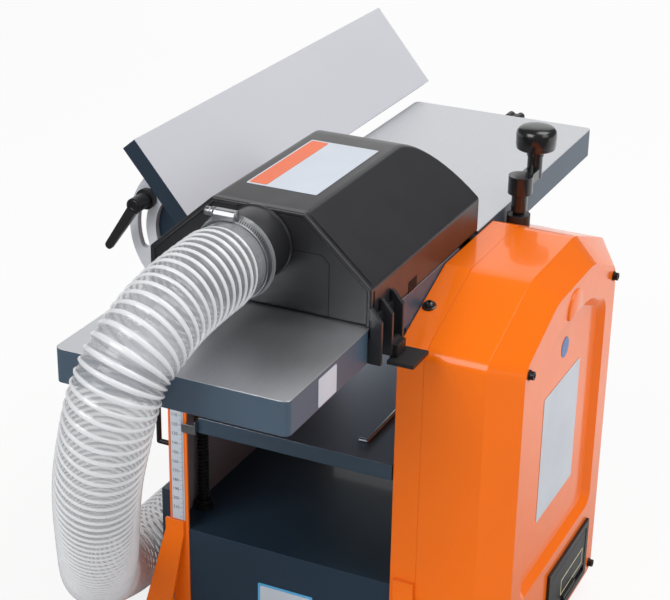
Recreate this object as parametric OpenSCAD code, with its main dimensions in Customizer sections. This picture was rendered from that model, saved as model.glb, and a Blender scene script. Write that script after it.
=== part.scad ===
// Combination planer thicknesser for a bench: two planing tables over a cutterblock,
// a rising thickness table below, a tilting fence, a chip hood with its hose, and a belt cover.
// +X is to the belt side, +Y along the tables to the infeed end, +Z up, origin on the floor
// in the middle of the four feet. The cutterblock turns about X above the origin.

/* [Tables] */
// Height of the planing tables above the floor
table_top = 425; // [415:1:440]
// Length of each planing table from the cutterblock axis
table_len = 370; // [300:1:420]
// Width of the planing tables
table_w = 210; // [180:1:250]
// Depth of the table's edge
table_edge = 30; // [26:1:32]
// Thickness of the planed plate
table_plate = 8; // [6:0.5:10]
// Thickness of the table's side walls
table_wall = 6; // [4:0.5:8]
// Half of the gap between the two tables
lip_gap = 24; // [23:0.5:30]

/* [Side frames] */
// Clearance between the planing tables and the side frames
frame_gap = 1; // [1:0.5:4]
// Depth of the left side frame
left_depth = 20; // [18:0.5:24]
// Depth of the right side frame
right_depth = 25; // [22:0.5:28]
// Half of the side frame's length
frame_half = 164; // [140:1:190]
// Half of the side frame's flat top
frame_flat = 60; // [50:1:70]
// Drop of the right frame's flat top below the tables
frame_drop = 2; // [1:0.5:3]
// Fall of the frame's sloping shoulders
shoulder_fall = 39; // [30:1:45]
// Height of the frames above the floor
frame_low = 14; // [10:1:20]
// Thickness of the sheet steel
sheet = 2; // [1.5:0.1:2.5]

/* [Belt cover] */
// Depth of the cover up to its bevel
cover_depth = 57; // [54:1:62]
// Depth of the bevel
bevel_depth = 24; // [20:1:28]
// Inset of the front face at its sides
bevel_side = 33; // [28:1:36]
// Inset of the front face at its top
bevel_top = 21; // [18:1:24]
// Wall of the cover
cover_wall = 3; // [2.5:0.1:3.2]
// Depth of the panel pressed into the front face
panel_depth = 5; // [3:0.5:6]

/* [Cutterblock and feed] */
// Radius of the cutting circle
cutter_r = 25; // [24.5:0.1:25.5]
// Radius of the cutterblock's journals
journal_r = 7.5; // [6.5:0.1:8]
// Number of knives
knife_count = 3; // [2:1:4]
// Radius of the feed rollers
roller_r = 10.5; // [9:0.1:11]
// Distance of each feed roller from the cutterblock
roller_y = 48; // [45:1:52]
// Radius of the pulley on the cutterblock
cutter_pulley_r = 15; // [13:0.5:15.5]
// Radius of the motor's pulley
motor_pulley_r = 44; // [40:1:50]
// Width of the belt
belt_w = 14; // [10:1:16]

/* [Thickness table] */
// Free height between the thickness table and the cutting circle
work_height = 108.5; // [100:0.5:115]
// Thickness of its plate
bed_plate = 8; // [7:0.5:10]
// Depth of its end lips
bed_lip = 15.5; // [13:0.5:18]
// Height of the base's top above the floor
base_top = 142.5; // [140:0.5:150]
// Radius of the lead screws
screw_r = 5.8; // [5:0.1:6.5]

/* [Fence] */
// Tilt of the fence from upright
fence_tilt = 40; // [30:1:45]
// Height of the fence
fence_h = 104; // [90:1:120]
// Thickness of the fence
fence_t = 17; // [15:0.5:18]
// Near end of the fence
fence_near = -122; // [-126:1:-118]
// Far end of the fence
fence_far = 422; // [380:1:440]
// Radius of the quadrant's curved slot
slot_r = 60; // [56:1:62]

/* [Hood and hose] */
// Near face of the chip hood
hood_near = -219; // [-225:1:-210]
// Far face of the chip hood
hood_far = 23.8; // [22:0.1:23.8]
// Height of the hood above the tables
hood_h = 90; // [86:1:94]
// Height of the hood's upright skirts
skirt_h = 34; // [30:1:38]
// Half width of the hood's flat top
hood_flat = 43; // [40:1:48]
// Wall of the hood
hood_wall = 3; // [2.5:0.1:4]
// Radius of the hood's hose spigot
spigot_r = 31.5; // [31:0.1:32]
// Radius over the hose's ribs
hose_r = 36; // [35.6:0.1:36.4]
// Distance between the hose's ribs
rib_pitch = 10; // [9:0.5:14]
// Radius of the bore of the hose's far cuff
outlet_r = 28; // [26:0.5:28.5]

/* [Controls and feet] */
// Throw of the height crank
crank_throw = 40; // [35:1:42]
// Width of the switch plate
switch_w = 123; // [110:1:130]
// Height of the switch plate
switch_h = 66; // [60:1:70]
// Distance of the feet's bolt holes outside the frames' inner faces
bolt_out = 32; // [28:1:36]
// Distance of the feet's bolt holes past the frames' ends
bolt_past = 14; // [12:1:19]
// Radius of the feet's bolt holes
bolt_r = 4.5; // [4:0.1:5.5]

/* [Hidden] */
$fn = 48;
fit = 0.05;
gap = 0.3;
half_w = table_w / 2;
frame_in = half_w + frame_gap;
bolt_x = 2 * (frame_in + bolt_out);
bolt_y = 2 * (frame_half + bolt_past);
left_out = -(frame_in + left_depth);
right_out = frame_in + right_depth;
right_top = table_top - frame_drop;
left_top = right_top - 3;
shoulder_slope = shoulder_fall / (frame_half - frame_flat);
shoulder_secant = sqrt(1 + shoulder_slope * shoulder_slope);
cutter_z = table_top - cutter_r;
cut_z = cutter_z - cutter_r;
roller_z = cut_z - 1 + roller_r;
bed_top = cut_z - work_height;
bed_half_w = frame_in - 2;
bed_half_l = frame_half - 1;
drum_half = half_w - table_wall - 2;
cover_front = right_out + cover_depth + bevel_depth;
cover_bevel = right_out + cover_depth;
motor_z = 80;
motor_r = 56;
pulley_x = right_out + 6;
// Crank and lead screws stand inside the depth of the side frames
crank_x = frame_in + 12.5;
crank_y = frame_half - 65;
left_screw_x = -(frame_in + 8);
left_screw_y = -(frame_half - 44);
hub_low = table_top + 16;
hub_high = table_top + 34;
post_high = hub_high + 7.7;
// Fence hinge on the fence's lower back edge
hinge_x = left_out + 1;
hinge_z = table_top - 2;
ear_y = frame_half - 77;
ear_w = 8;
quadrant_y = -(ear_y + 17);
quadrant_t = 6;
clamp_angle = 152;
clamp_x = hinge_x + slot_r * cos(clamp_angle);
clamp_z = hinge_z + slot_r * sin(clamp_angle);
port_z = table_top + 58;
spigot_len = 61;
hose_start = hood_near - 40;
hose_side = (left_out - 92) / -218;
bush_top = right_top - (crank_y - frame_flat) * shoulder_slope + 11;
sleeve_low = max(table_top - 2, bush_top + 1);
kickback_y = -(roller_y + 44);
// Route of the hose's middle line from the spigot to its far end, lying on the floor
hose_bend = min(-table_len, hose_start - 111);
hose_floor = hose_r + 0.2;
hose_middle = [[0, hose_start, port_z], [0, hose_start - 31, port_z], [-1, hose_start - 66, port_z - 2],
    [-3, hose_start - 99, port_z - 7], [-5, hose_bend - 18, port_z - 17], [-10, hose_bend - 41, port_z - 34],
    [-17, hose_bend - 53, table_top - 5], [-27, hose_bend - 51, table_top - 40],
    [-43, hose_bend - 37, table_top - 80], [-60, hose_bend - 16, table_top - 120], [-83, -353, 255],
    [-109, -315, 205], [-140, -270, 155], [-172, -220, 110], [-198, -168, 74], [-213, -115, 48],
    [-218, -65, 38], [-218, -10, hose_floor], [-218, 50, hose_floor], [-218, 110, hose_floor]];
hose_route = [for (p = hose_middle) [p[0] * hose_side, p[1], p[2]]];
hose_sides = 12;
hose_valley = 2.2;
hose_skin = 1.2;
clamp_squeeze = ((spigot_r + 0.15) / cos(180 / hose_sides) + hose_skin) / hose_r;
orange = [0.94, 0.43, 0.06];
slate = [0.20, 0.26, 0.31];
black = [0.13, 0.13, 0.14];
steel = [0.70, 0.71, 0.73];

// A 2D outline given as (y, z), made solid from x0 to x1
module along_x(x0, x1) {
    translate([x0, 0, 0]) rotate([90, 0, 90]) linear_extrude(x1 - x0) children();
}

// A 2D outline given as (x, z), made solid from y0 to y1
module along_y(y0, y1) {
    translate([0, y1, 0]) rotate([90, 0, 0]) linear_extrude(y1 - y0) children();
}

module rod_x(x0, x1, y, z, r) {
    translate([x0, y, z]) rotate([0, 90, 0]) cylinder(h = x1 - x0, r = r);
}

module rod_y(x, y0, y1, z, r) {
    translate([x, y1, z]) rotate([90, 0, 0]) cylinder(h = y1 - y0, r = r);
}

module box(low, high) {
    translate(low) cube(high - low);
}

// Outline of a side frame as (y, z), drawn in by i on every side
function side_points(top, i) =
    let (low_y = frame_half - i,
         low_z = top - shoulder_fall + i * (shoulder_slope - shoulder_secant),
         flat_y = frame_flat + i * (1 - shoulder_secant) / shoulder_slope)
    [[-low_y, frame_low + i], [low_y, frame_low + i], [low_y, low_z], [flat_y, top - i],
     [-flat_y, top - i], [-low_y, low_z]];

// Pressed side frame: a web with a flange all round, opening inwards
module side_pan(x_in, x_out, top) {
    web_in = x_out - sign(x_out) * sheet;
    difference() {
        along_x(min(x_in, x_out), max(x_in, x_out)) polygon(side_points(top, 0));
        along_x(min(x_in, web_in) - (x_in < 0 ? 0 : 1), max(x_in, web_in) + (x_in < 0 ? 1 : 0))
            polygon(side_points(top, sheet));
    }
}

module left_side_frame() {
    motor_window = motor_r + 4;
    color(orange) difference() {
        side_pan(-frame_in, left_out, left_top);
        rod_x(left_out - 1, left_out + sheet + 1, 0, motor_z, motor_window);
        rod_x(left_out - 1, left_out + sheet + 1, 0, cutter_z, journal_r + 1);
    }
}

module right_side_frame() {
    shaft_window = 14;
    color(orange) difference() {
        side_pan(frame_in, right_out, right_top);
        rod_x(right_out - sheet - 1, right_out + 1, 0, motor_z, shaft_window);
        rod_x(right_out - sheet - 1, right_out + 1, 0, cutter_z, journal_r + 1);
        translate([crank_x, crank_y, table_top - 40]) cylinder(h = 40, r = screw_r + 2.5);
    }
}

module base_housing() {
    skirt_x = frame_in - gap;
    skirt_y = frame_half - 1;
    plate_y = frame_half - sheet - gap;
    lug_low = frame_low + 4;
    color(slate) difference() {
        union() {
            box([left_out + sheet, -plate_y, base_top - sheet], [right_out - sheet, plate_y, base_top]);
            for (side = [-1, 1])
                box([-skirt_x, side * (skirt_y - sheet / 2) - sheet / 2, lug_low],
                    [skirt_x, side * (skirt_y - sheet / 2) + sheet / 2, base_top]);
        }
        translate([crank_x, crank_y, base_top - 2 * sheet]) cylinder(h = 4 * sheet, r = screw_r + 1);
        translate([left_screw_x, left_screw_y, base_top - 2 * sheet])
            cylinder(h = 4 * sheet, r = screw_r + 1);
    }
}

// Sheet box over the motor's fan end, open to the frame, with slots on its outer face
module motor_cover() {
    half = frame_half - 54;
    depth = 42;
    top = base_top + 1.5;
    low = frame_low + 2;
    slot_count = 6;
    slot_step = 18;
    color(slate) difference() {
        box([left_out - depth, -half, low], [left_out, half, top]);
        box([left_out - depth + sheet, -half + sheet, low + sheet], [left_out + 1, half - sheet, top - sheet]);
        for (i = [0 : slot_count - 1])
            box([left_out - depth - 1, -60, low + 20 + i * slot_step],
                [left_out - depth + sheet + 1, 60, low + 26 + i * slot_step]);
    }
}

// Splayed sheet foot: an upright plate that widens to a floor pad with one bolt hole
module foot(side_x, side_y) {
    plate_t = 3;
    pad_z = 6;
    foot_top = base_top - 3.5;
    face_y = frame_half;
    top_in = frame_in + 4;
    top_out = frame_in + 24;
    low_in = bolt_x / 2 - 15;
    low_out = bolt_x / 2 + 17;
    low_y = bolt_y / 2 + 12;
    scale([side_x, side_y, 1]) difference() {
        union() {
            hull() {
                box([top_in, face_y, foot_top - 1], [top_out, face_y + plate_t, foot_top]);
                box([low_in, low_y, pad_z], [low_out, low_y + plate_t, pad_z + plate_t]);
            }
            box([top_in, face_y, foot_top - 1], [top_out, face_y + plate_t, foot_top + 12]);
            box([low_in, bolt_y / 2 - 13, pad_z], [low_out, low_y + plate_t, pad_z + plate_t]);
        }
        translate([bolt_x / 2, bolt_y / 2, pad_z - 1]) cylinder(h = plate_t + 2, r = bolt_r);
    }
}

module foot_near_left() { color(orange) foot(-1, -1); }
module foot_near_right() { color(orange) foot(1, -1); }
module foot_far_left() { color(orange) foot(-1, 1); }
module foot_far_right() { color(orange) foot(1, 1); }

module rubber_feet() {
    color(black) for (x = [-1, 1], y = [-1, 1])
        translate([x * bolt_x / 2, y * bolt_y / 2, 0]) difference() {
            cylinder(h = 6, r1 = 14, r2 = 12);
            translate([0, 0, -1]) cylinder(h = 8, r = bolt_r);
        }
}

// Two bars across the frames that carry the planing tables
module cross_bars() {
    bar_y = frame_half - 26;
    bar_half = 7;
    bar_low = cut_z + 1;
    tongue_high = left_top - (bar_y + bar_half - frame_flat) * shoulder_slope - sheet * shoulder_secant - 1;
    color(slate) for (side = [-1, 1]) {
        box([-frame_in + gap, side * bar_y - bar_half, bar_low],
            [frame_in - gap, side * bar_y + bar_half, table_top - table_edge - (side > 0 ? 4 : 0)]);
        box([left_out + sheet, side * bar_y - bar_half, bar_low],
            [right_out - sheet, side * bar_y + bar_half, tongue_high]);
    }
}

// Cast table: planed plate, side and end walls, one rib across; near end at -len
module cast_table() {
    wall_from = lip_gap + 8;
    corner = 6;
    rib_y = table_len * 0.68;
    low = table_top - table_edge;
    under = table_top - table_plate;
    difference() {
        union() {
            box([-half_w, -table_len + corner, low], [half_w, -lip_gap, table_top]);
            box([-half_w + corner, -table_len, low], [half_w - corner, -lip_gap, table_top]);
            for (side = [-1, 1])
                translate([side * (half_w - corner), -table_len + corner, low])
                    cylinder(h = table_edge, r = corner);
        }
        box([-half_w + table_wall, -rib_y + table_wall, low - 1], [half_w - table_wall, 0, under]);
        box([-half_w + table_wall, -table_len + table_wall, low - 1],
            [half_w - table_wall, -rib_y, under]);
        box([-half_w - 1, -wall_from, low - 1], [half_w + 1, 0, under]);
    }
}

module outfeed_table() { color(slate) cast_table(); }

module infeed_table() {
    color(slate) difference() {
        mirror([0, 1, 0]) cast_table();
        rod_y(10, table_len - table_wall - 1, table_len + 1, table_top - 15, 5 + fit);
    }
}

// Lobed knob at the infeed table's far end
module star_knob() {
    lobes = 6;
    knob_z = table_top - 15;
    shaft_in = 12;
    color(black) {
        difference() {
            union() {
                rod_y(10, table_len + 6, table_len + 20, knob_z, 12);
                for (i = [0 : lobes - 1])
                    translate([10 + 11 * cos(i * 60), 0, knob_z + 11 * sin(i * 60)])
                        rod_y(0, table_len + 6, table_len + 20, 0, 4.6);
                rod_y(10, table_len + gap, table_len + 7, knob_z, 8);
                rod_y(10, table_len - shaft_in, table_len + 7, knob_z, 5);
            }
            rod_y(10, table_len + 17, table_len + 21, knob_z, 5);
        }
    }
}

// Thickness table with end lips, ribs below and an ear to each lead screw
module thickness_table() {
    lip_w = 10;
    rib_w = 5;
    ear_half = 14;
    notch_w = 10;
    notch_l = 22;
    left_ear = left_out + sheet + 1;
    right_ear = right_out - sheet - 1;
    color(slate) difference() {
        union() {
            box([-bed_half_w, -bed_half_l, bed_top - bed_plate], [bed_half_w, bed_half_l, bed_top]);
            for (side = [-1, 1])
                box([-bed_half_w, side * (bed_half_l - lip_w / 2) - lip_w / 2, bed_top - bed_lip],
                    [bed_half_w, side * (bed_half_l - lip_w / 2) + lip_w / 2, bed_top]);
            for (x = [-60, 0, 60])
                box([x - rib_w / 2, -bed_half_l + 1, bed_top - bed_lip],
                    [x + rib_w / 2, bed_half_l - 1, bed_top - 1]);
            box([left_ear, left_screw_y - ear_half, bed_top - bed_lip],
                [-bed_half_w + 1, left_screw_y + ear_half, bed_top]);
            box([bed_half_w - 1, crank_y - ear_half, bed_top - bed_lip],
                [right_ear, crank_y + ear_half, bed_top]);
        }
        box([-bed_half_w - 1, -bed_half_l - 1, bed_top - bed_lip - 1],
            [-bed_half_w + notch_w, -bed_half_l + notch_l, bed_top + 1]);
        translate([left_screw_x, left_screw_y, bed_top - 30]) cylinder(h = 40, r = screw_r + 0.6);
        translate([crank_x, crank_y, bed_top - 30]) cylinder(h = 40, r = screw_r + 0.6);
    }
}

module lift_nut(x, y) {
    nut_h = 14;
    translate([x, y, bed_top - bed_lip - nut_h]) difference() {
        cylinder(h = nut_h, r = 8);
        translate([0, 0, -1]) cylinder(h = nut_h + 2, r = screw_r + fit);
    }
}

module lift_nuts() {
    color("darkgoldenrod") {
        lift_nut(left_screw_x, left_screw_y);
        lift_nut(crank_x, crank_y);
    }
}

// Angle on the thickness table's near lip that reads against the scale
module scale_pointer() {
    tab_t = 1.5;
    front = -frame_half - 3;
    tip_z = bed_top - 16;
    seat = -bed_half_w + 10;
    color(black) {
        box([seat - tab_t, front - tab_t, bed_top - 14], [seat, -bed_half_l + 21, bed_top - 3]);
        box([-frame_in - 3, front - tab_t, tip_z], [seat, front, tip_z + 9]);
    }
}

module scale_strip() {
    strip_t = 0.6;
    color("white") box([left_out + 3, -frame_half - strip_t, base_top + 9],
        [-frame_in - 3.5, -frame_half, bed_top + 112]);
}

// Bent wire that lies on the thickness table
module guide_rod() {
    wire_r = 2;
    rod_xc = bed_half_w - 37;
    near = -(bed_half_l - 28);
    color(steel) {
        rod_y(rod_xc, near, bed_half_l - 43, bed_top + wire_r, wire_r);
        translate([rod_xc, near, bed_top + wire_r]) sphere(r = wire_r);
        rod_x(rod_xc - 8, rod_xc, near, bed_top + wire_r, wire_r);
    }
}

// Lead screw drawn as its thread's envelope, with a collar on its bush and a sprocket below
module lead_screw(x, y, top) {
    sprocket_z = base_top - 14;
    translate([x, y, 0]) {
        translate([0, 0, sprocket_z]) cylinder(h = top - sprocket_z, r = screw_r);
        translate([0, 0, sprocket_z]) cylinder(h = 5, r = 9);
        translate([0, 0, base_top + 5 + gap]) cylinder(h = 4, r = 8);
    }
}

module lead_screw_left() {
    color(steel) lead_screw(left_screw_x, left_screw_y, cut_z + 12);
}

module lead_screw_right() {
    color(steel) lead_screw(crank_x, crank_y, hub_low);
}

module screw_bush(x, y) {
    translate([x, y, base_top]) difference() {
        cylinder(h = 5, r = 9.5);
        translate([0, 0, -1]) cylinder(h = 7, r = screw_r + fit);
    }
}

module screw_bushes() {
    color(black) {
        screw_bush(left_screw_x, left_screw_y);
        screw_bush(crank_x, crank_y);
    }
}

// Guide bush of the crank shaft, standing on the frame's far shoulder
module crank_bush() {
    seat = bush_top - 11;
    bush_r = 11.5;
    drop = bush_r * shoulder_slope;
    color(black) difference() {
        translate([crank_x, crank_y, seat - drop - 1]) cylinder(h = 12 + drop, r = bush_r);
        translate([crank_x, crank_y, seat - 20]) cylinder(h = 40, r = screw_r + fit);
        along_x(frame_in - 2, right_out + 2) polygon(side_points(right_top, 0));
    }
}

// Cranked handle: hub on the shaft, flat arm and the knob's post
module crank_arm() {
    hub_r = 12;
    arm_w = 13;
    post_r = 7.5;
    arm_low = hub_low + 4;
    color(black) difference() {
        union() {
            translate([crank_x, crank_y, hub_low]) cylinder(h = hub_high - hub_low, r = hub_r);
            translate([crank_x, crank_y, sleeve_low]) cylinder(h = hub_low - sleeve_low, r = 7.8);
            box([crank_x - arm_w / 2, crank_y, arm_low], [crank_x + arm_w / 2, crank_y + crank_throw, hub_high - 4]);
            translate([crank_x, crank_y + crank_throw, arm_low])
                cylinder(h = hub_high - 4 - arm_low, r = arm_w / 2);
            translate([crank_x, crank_y + crank_throw, arm_low]) cylinder(h = post_high - arm_low, r = post_r);
            translate([crank_x, crank_y + crank_throw, arm_low]) cylinder(h = post_high - arm_low + 22, r = 4);
        }
        translate([crank_x, crank_y, sleeve_low - 1]) cylinder(h = hub_low - sleeve_low + 1, r = screw_r + fit);
    }
}

// Free-turning knob on the crank's post
module crank_knob() {
    knob_r = 20;
    knob_low = post_high + gap;
    knob_h = 31;
    edge = 7;
    color(black) translate([crank_x, crank_y + crank_throw, knob_low]) difference() {
        rotate_extrude() polygon(concat([[0, 0], [9, 0], [9.5, 4], [knob_r - 4, 7], [knob_r - 1, 13]],
            [for (a = [0 : 15 : 90]) [knob_r - edge + edge * cos(a), knob_h - edge + edge * sin(a)]],
            [[0, knob_h]]));
        translate([0, 0, -1]) cylinder(h = 24, r = 4 + fit);
    }
}

// Cutterblock with a slot for each knife, journals at both ends
module cutterblock() {
    body_r = cutter_r - 1.5;
    shaft_left = left_out + sheet / 2;
    shaft_right = pulley_x + belt_w + 6;
    color(steel) difference() {
        union() {
            rod_x(-drum_half, drum_half, 0, cutter_z, body_r);
            rod_x(shaft_left, shaft_right, 0, cutter_z, journal_r);
        }
        for (i = [0 : knife_count - 1])
            translate([0, 0, cutter_z]) rotate([i * 360 / knife_count, 0, 0])
                box([-drum_half - 1, -5, body_r - 11], [drum_half + 1, 5, body_r + 2]);
    }
}

module cutter_knives() {
    knife_t = 3;
    wedge_t = 6.6;
    body_r = cutter_r - 1.5;
    color("gainsboro") for (i = [0 : knife_count - 1])
        translate([0, 0, cutter_z]) rotate([i * 360 / knife_count, 0, 0]) {
            box([-drum_half + 1, -5, body_r - 11], [drum_half - 1, -5 + knife_t, cutter_r - 0.3]);
            box([-drum_half + 1, 5 - wedge_t, body_r - 11], [drum_half - 1, 5, body_r - 2]);
        }
}

module cutter_bearings() {
    housing_r = 16.5;
    color(steel) {
        difference() {
            rod_x(left_out + sheet, -frame_in - 1, 0, cutter_z, housing_r);
            rod_x(left_out - 1, -frame_in + 1, 0, cutter_z, journal_r + fit);
        }
        difference() {
            rod_x(frame_in + 1, right_out - sheet, 0, cutter_z, housing_r);
            rod_x(frame_in - 1, right_out + 1, 0, cutter_z, journal_r + fit);
        }
    }
}

// Grooved pulley, bored for its shaft
module grooved_pulley(z, r, bore) {
    groove_count = 4;
    pitch = belt_w / groove_count;
    difference() {
        translate([pulley_x, 0, z]) rotate([0, 90, 0]) rotate_extrude() polygon(concat([[bore, -2]],
            [[r + 1.5, -2], [r + 1.5, 0]],
            [for (i = [0 : groove_count - 1]) each [[r, i * pitch], [r - 1.5, (i + 0.5) * pitch]]],
            [[r, belt_w], [r + 1.5, belt_w], [r + 1.5, belt_w + 2], [bore, belt_w + 2]]));
        rod_x(pulley_x - 5, pulley_x + belt_w + 5, 0, z, bore);
    }
}

module cutter_pulley() { color(steel) grooved_pulley(cutter_z, cutter_pulley_r, journal_r + fit); }
module motor_pulley() {
    shaft_r = 9;
    color(steel) {
        grooved_pulley(motor_z, motor_pulley_r, shaft_r);
        rod_x(60 + gap, pulley_x + belt_w + 4, 0, motor_z, shaft_r);
    }
}

// Induction motor hung across the base: finned body, end bell, fan cowl and a mounting pad
module motor() {
    fin_count = 18;
    body_left = left_out + 46;
    body_right = 52;
    color([0.35, 0.37, 0.39]) difference() {
        union() {
            rod_x(body_left, body_right, 0, motor_z, motor_r - 6);
            for (i = [0 : fin_count - 1])
                translate([0, 0, motor_z]) rotate([i * 360 / fin_count, 0, 0])
                    box([body_left, -1.5, motor_r - 8], [body_right, 1.5, motor_r - 1]);
            rod_x(body_right - 1, 60, 0, motor_z, motor_r - 12);
            rod_x(left_out - 34, body_left + 1, 0, motor_z, motor_r - 3);
            box([body_left + 20, -30, motor_z + 40], [body_right - 20, 30, base_top - sheet]);
        }
        rod_x(50, 61, 0, motor_z, 9.5);
    }
}

// Belt round both pulleys, drawn as the band between two pairs of tangent circles
module drive_belt() {
    belt_t = 2.4;
    module loop(extra) {
        hull() {
            translate([0, cutter_z]) circle(r = cutter_pulley_r + extra);
            translate([0, motor_z]) circle(r = motor_pulley_r + extra);
        }
    }
    color(black) along_x(pulley_x + gap, pulley_x + belt_w - gap) difference() {
        loop(gap + belt_t);
        loop(gap);
    }
}

module feed_roller(y) {
    shaft_r = 6;
    flute_count = 20;
    color(steel) difference() {
        union() {
            rod_x(-drum_half, drum_half, y, roller_z, roller_r);
            rod_x(left_out + sheet + 2, right_out - sheet - 2, y, roller_z, shaft_r);
        }
        for (i = [0 : flute_count - 1])
            translate([0, y, roller_z]) rotate([i * 360 / flute_count, 0, 0])
                box([-drum_half - 1, -0.6, roller_r - 1], [drum_half + 1, 0.6, roller_r + 1]);
    }
}

module near_feed_roller() { feed_roller(-roller_y); }
module far_feed_roller() { feed_roller(roller_y); }

module roller_blocks() {
    block = 10;
    color(black) for (y = [-roller_y, roller_y], side = [-1, 1])
        difference() {
            box([side > 0 ? frame_in + 4 : left_out + sheet, y - block, roller_z - block],
                [side > 0 ? right_out - sheet : -frame_in - 4, y + block, roller_z + block]);
            rod_x(left_out, right_out, y, roller_z, 6 + fit);
        }
}

module kickback_rod() {
    color(steel) rod_x(left_out + sheet, right_out - sheet, kickback_y, cut_z + 12, 5);
}

// Row of toothed fingers hanging on the rod
module kickback_fingers() {
    finger_count = 14;
    step = 2 * drum_half / finger_count;
    finger_t = 6;
    color(steel) for (i = [0 : finger_count - 1])
        translate([(i - (finger_count - 1) / 2) * step - finger_t / 2, kickback_y, cut_z + 12]) difference() {
            union() {
                rod_x(0, finger_t, 0, 0, 8.5);
                along_x(0, finger_t) polygon([[-8, 0], [8, 0], [6, -13], [1, -11]]);
            }
            rod_x(-1, finger_t + 1, 0, 0, 5 + fit);
        }
}

// Front outline of the belt cover, drawn in by i
function front_points(i) =
    let (side = frame_half - bevel_side - i,
         low = frame_low + 10 + i,
         top = right_top - bevel_top - i,
         shoulder = right_top - shoulder_fall - bevel_top * 0.68 - i * 0.7,
         flat = frame_flat - 8 - i * 0.2)
    [[-side, low], [side, low], [side, shoulder], [flat, top], [-flat, top], [-side, shoulder]];

module cover_form(i) {
    skin = 0.01;
    hull() {
        along_x(right_out, cover_bevel - i * 0.3) polygon(side_points(right_top, i));
        along_x(cover_front - i - skin, cover_front - i) polygon(front_points(i * 0.6));
    }
}

// Pressed panel in the cover's front face, as (y, z), drawn in by i
module panel_outline(i) {
    corner = 14;
    side = frame_half - bevel_side - 24 - i;
    low = frame_low + 98 + i;
    top = right_top - bevel_top - 24 - i;
    shoulder = top - 30;
    hull() {
        for (s = [-1, 1]) {
            translate([s * (side - corner), low + corner]) circle(r = corner, $fn = 24);
            translate([s * (side - corner), shoulder - corner]) circle(r = corner, $fn = 24);
            translate([s * (side - 62), top - corner]) circle(r = corner, $fn = 24);
        }
    }
}

module belt_cover() {
    color(orange) difference() {
        union() {
            difference() {
                cover_form(0);
                difference() {
                    translate([-0.01, 0, 0]) cover_form(cover_wall);
                    along_x(cover_front - panel_depth - cover_wall, cover_front) panel_outline(-cover_wall);
                }
            }
        }
        along_x(cover_front - panel_depth, cover_front + 1) panel_outline(0);
        for (p = cover_screw_places())
            rod_x(cover_front - 20, cover_front + 1, p[0], p[1], 2.5);
        box([cover_front - 20, switch_y - switch_w / 2 + well_in - gap, switch_low + well_in - gap],
            [cover_front + 1, switch_y + switch_w / 2 - well_in + gap, switch_low + switch_h - well_in + gap]);
    }
}

function cover_screw_places() =
    let (y = frame_half - bevel_side - 9)
    [[-y, right_top - 60], [y, right_top - 60], [-y, frame_low + 20], [y, frame_low + 20]];

// Dome-headed screws of the belt cover
module cover_screws() {
    color(black) for (p = cover_screw_places()) {
        rod_x(cover_front - 8, cover_front + 0.5, p[0], p[1], 2.5 - fit);
        difference() {
            rod_x(cover_front, cover_front + 3.5, p[0], p[1], 4.8);
            rod_x(cover_front + 2, cover_front + 4, p[0], p[1], 2);
        }
    }
}

switch_y = frame_half - bevel_side - 30 - switch_w / 2;
switch_low = frame_low + 20;
switch_x = cover_front - 8;
well_in = 3;
switch_rim = well_in + 4;
flap_face = switch_x + 10.5;
flap_t = 3;
flap_axis_x = flap_face - flap_t;
flap_axis_z = switch_low + switch_h - switch_rim - 3.6;

// Black switch plate with a well behind it for two buttons, let into the cover
module switch_plate() {
    rim = switch_rim;
    base_t = 4;
    rim_t = flap_face - switch_x + 0.5;
    near = switch_y - switch_w / 2;
    color(black) difference() {
        union() {
            box([cover_front, near, switch_low], [switch_x + rim_t, near + switch_w, switch_low + switch_h]);
            box([switch_x, near + well_in, switch_low + well_in],
                [cover_front + 1, near + switch_w - well_in, switch_low + switch_h - well_in]);
        }
        box([switch_x + base_t, near + rim, switch_low + rim],
            [switch_x + rim_t + 1, near + switch_w - rim, switch_low + switch_h - rim]);
        for (y = button_places())
            rod_x(switch_x + 1, switch_x + rim_t, y, button_z(), 11 + fit);
        rod_y(flap_axis_x, near + well_in + 1.4, near + switch_w - well_in - 1.4, flap_axis_z, 1.5 + fit);
    }
}

function button_places() = [switch_y - 26, switch_y + 26];
function button_z() = switch_low + switch_h / 2 - 2;

module push_button(y) {
    rod_x(switch_x + 1 + 2.6, flap_axis_x - 0.7, y, button_z(), 11);
}

module start_button() { color("green") push_button(button_places()[0]); }
module stop_button() { color("red") push_button(button_places()[1]); }

// Hinged flap over the buttons, with its knuckle along the top and a finger lip below
module switch_flap() {
    side_gap = 0.6;
    near = switch_y - switch_w / 2 + switch_rim + side_gap;
    wide = switch_w - 2 * (switch_rim + side_gap);
    low = switch_low + switch_rim + 8;
    color(black) {
        box([flap_axis_x, near, low], [flap_face, near + wide, flap_axis_z]);
        box([flap_face, near + wide / 2 - 18, low], [flap_face + 3, near + wide / 2 + 18, low + 4]);
        rod_y(flap_axis_x, near, near + wide, flap_axis_z, 3);
        rod_y(flap_axis_x, near - side_gap - 2.4, near + wide + side_gap + 2.4, flap_axis_z, 1.5);
    }
}

// Cross section of the hood as (x, z), drawn in by i
function hood_points(i, low) =
    let (slope = (hood_h - skirt_h) / (half_w - hood_flat),
         secant = sqrt(1 + slope * slope),
         side = half_w - i,
         shoulder = table_top + skirt_h + i * (slope - secant),
         flat = hood_flat + i * (1 - secant) / slope)
    [[-side, low], [side, low], [side, shoulder], [flat, table_top + hood_h - i],
     [-flat, table_top + hood_h - i], [-side, shoulder]];

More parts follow.
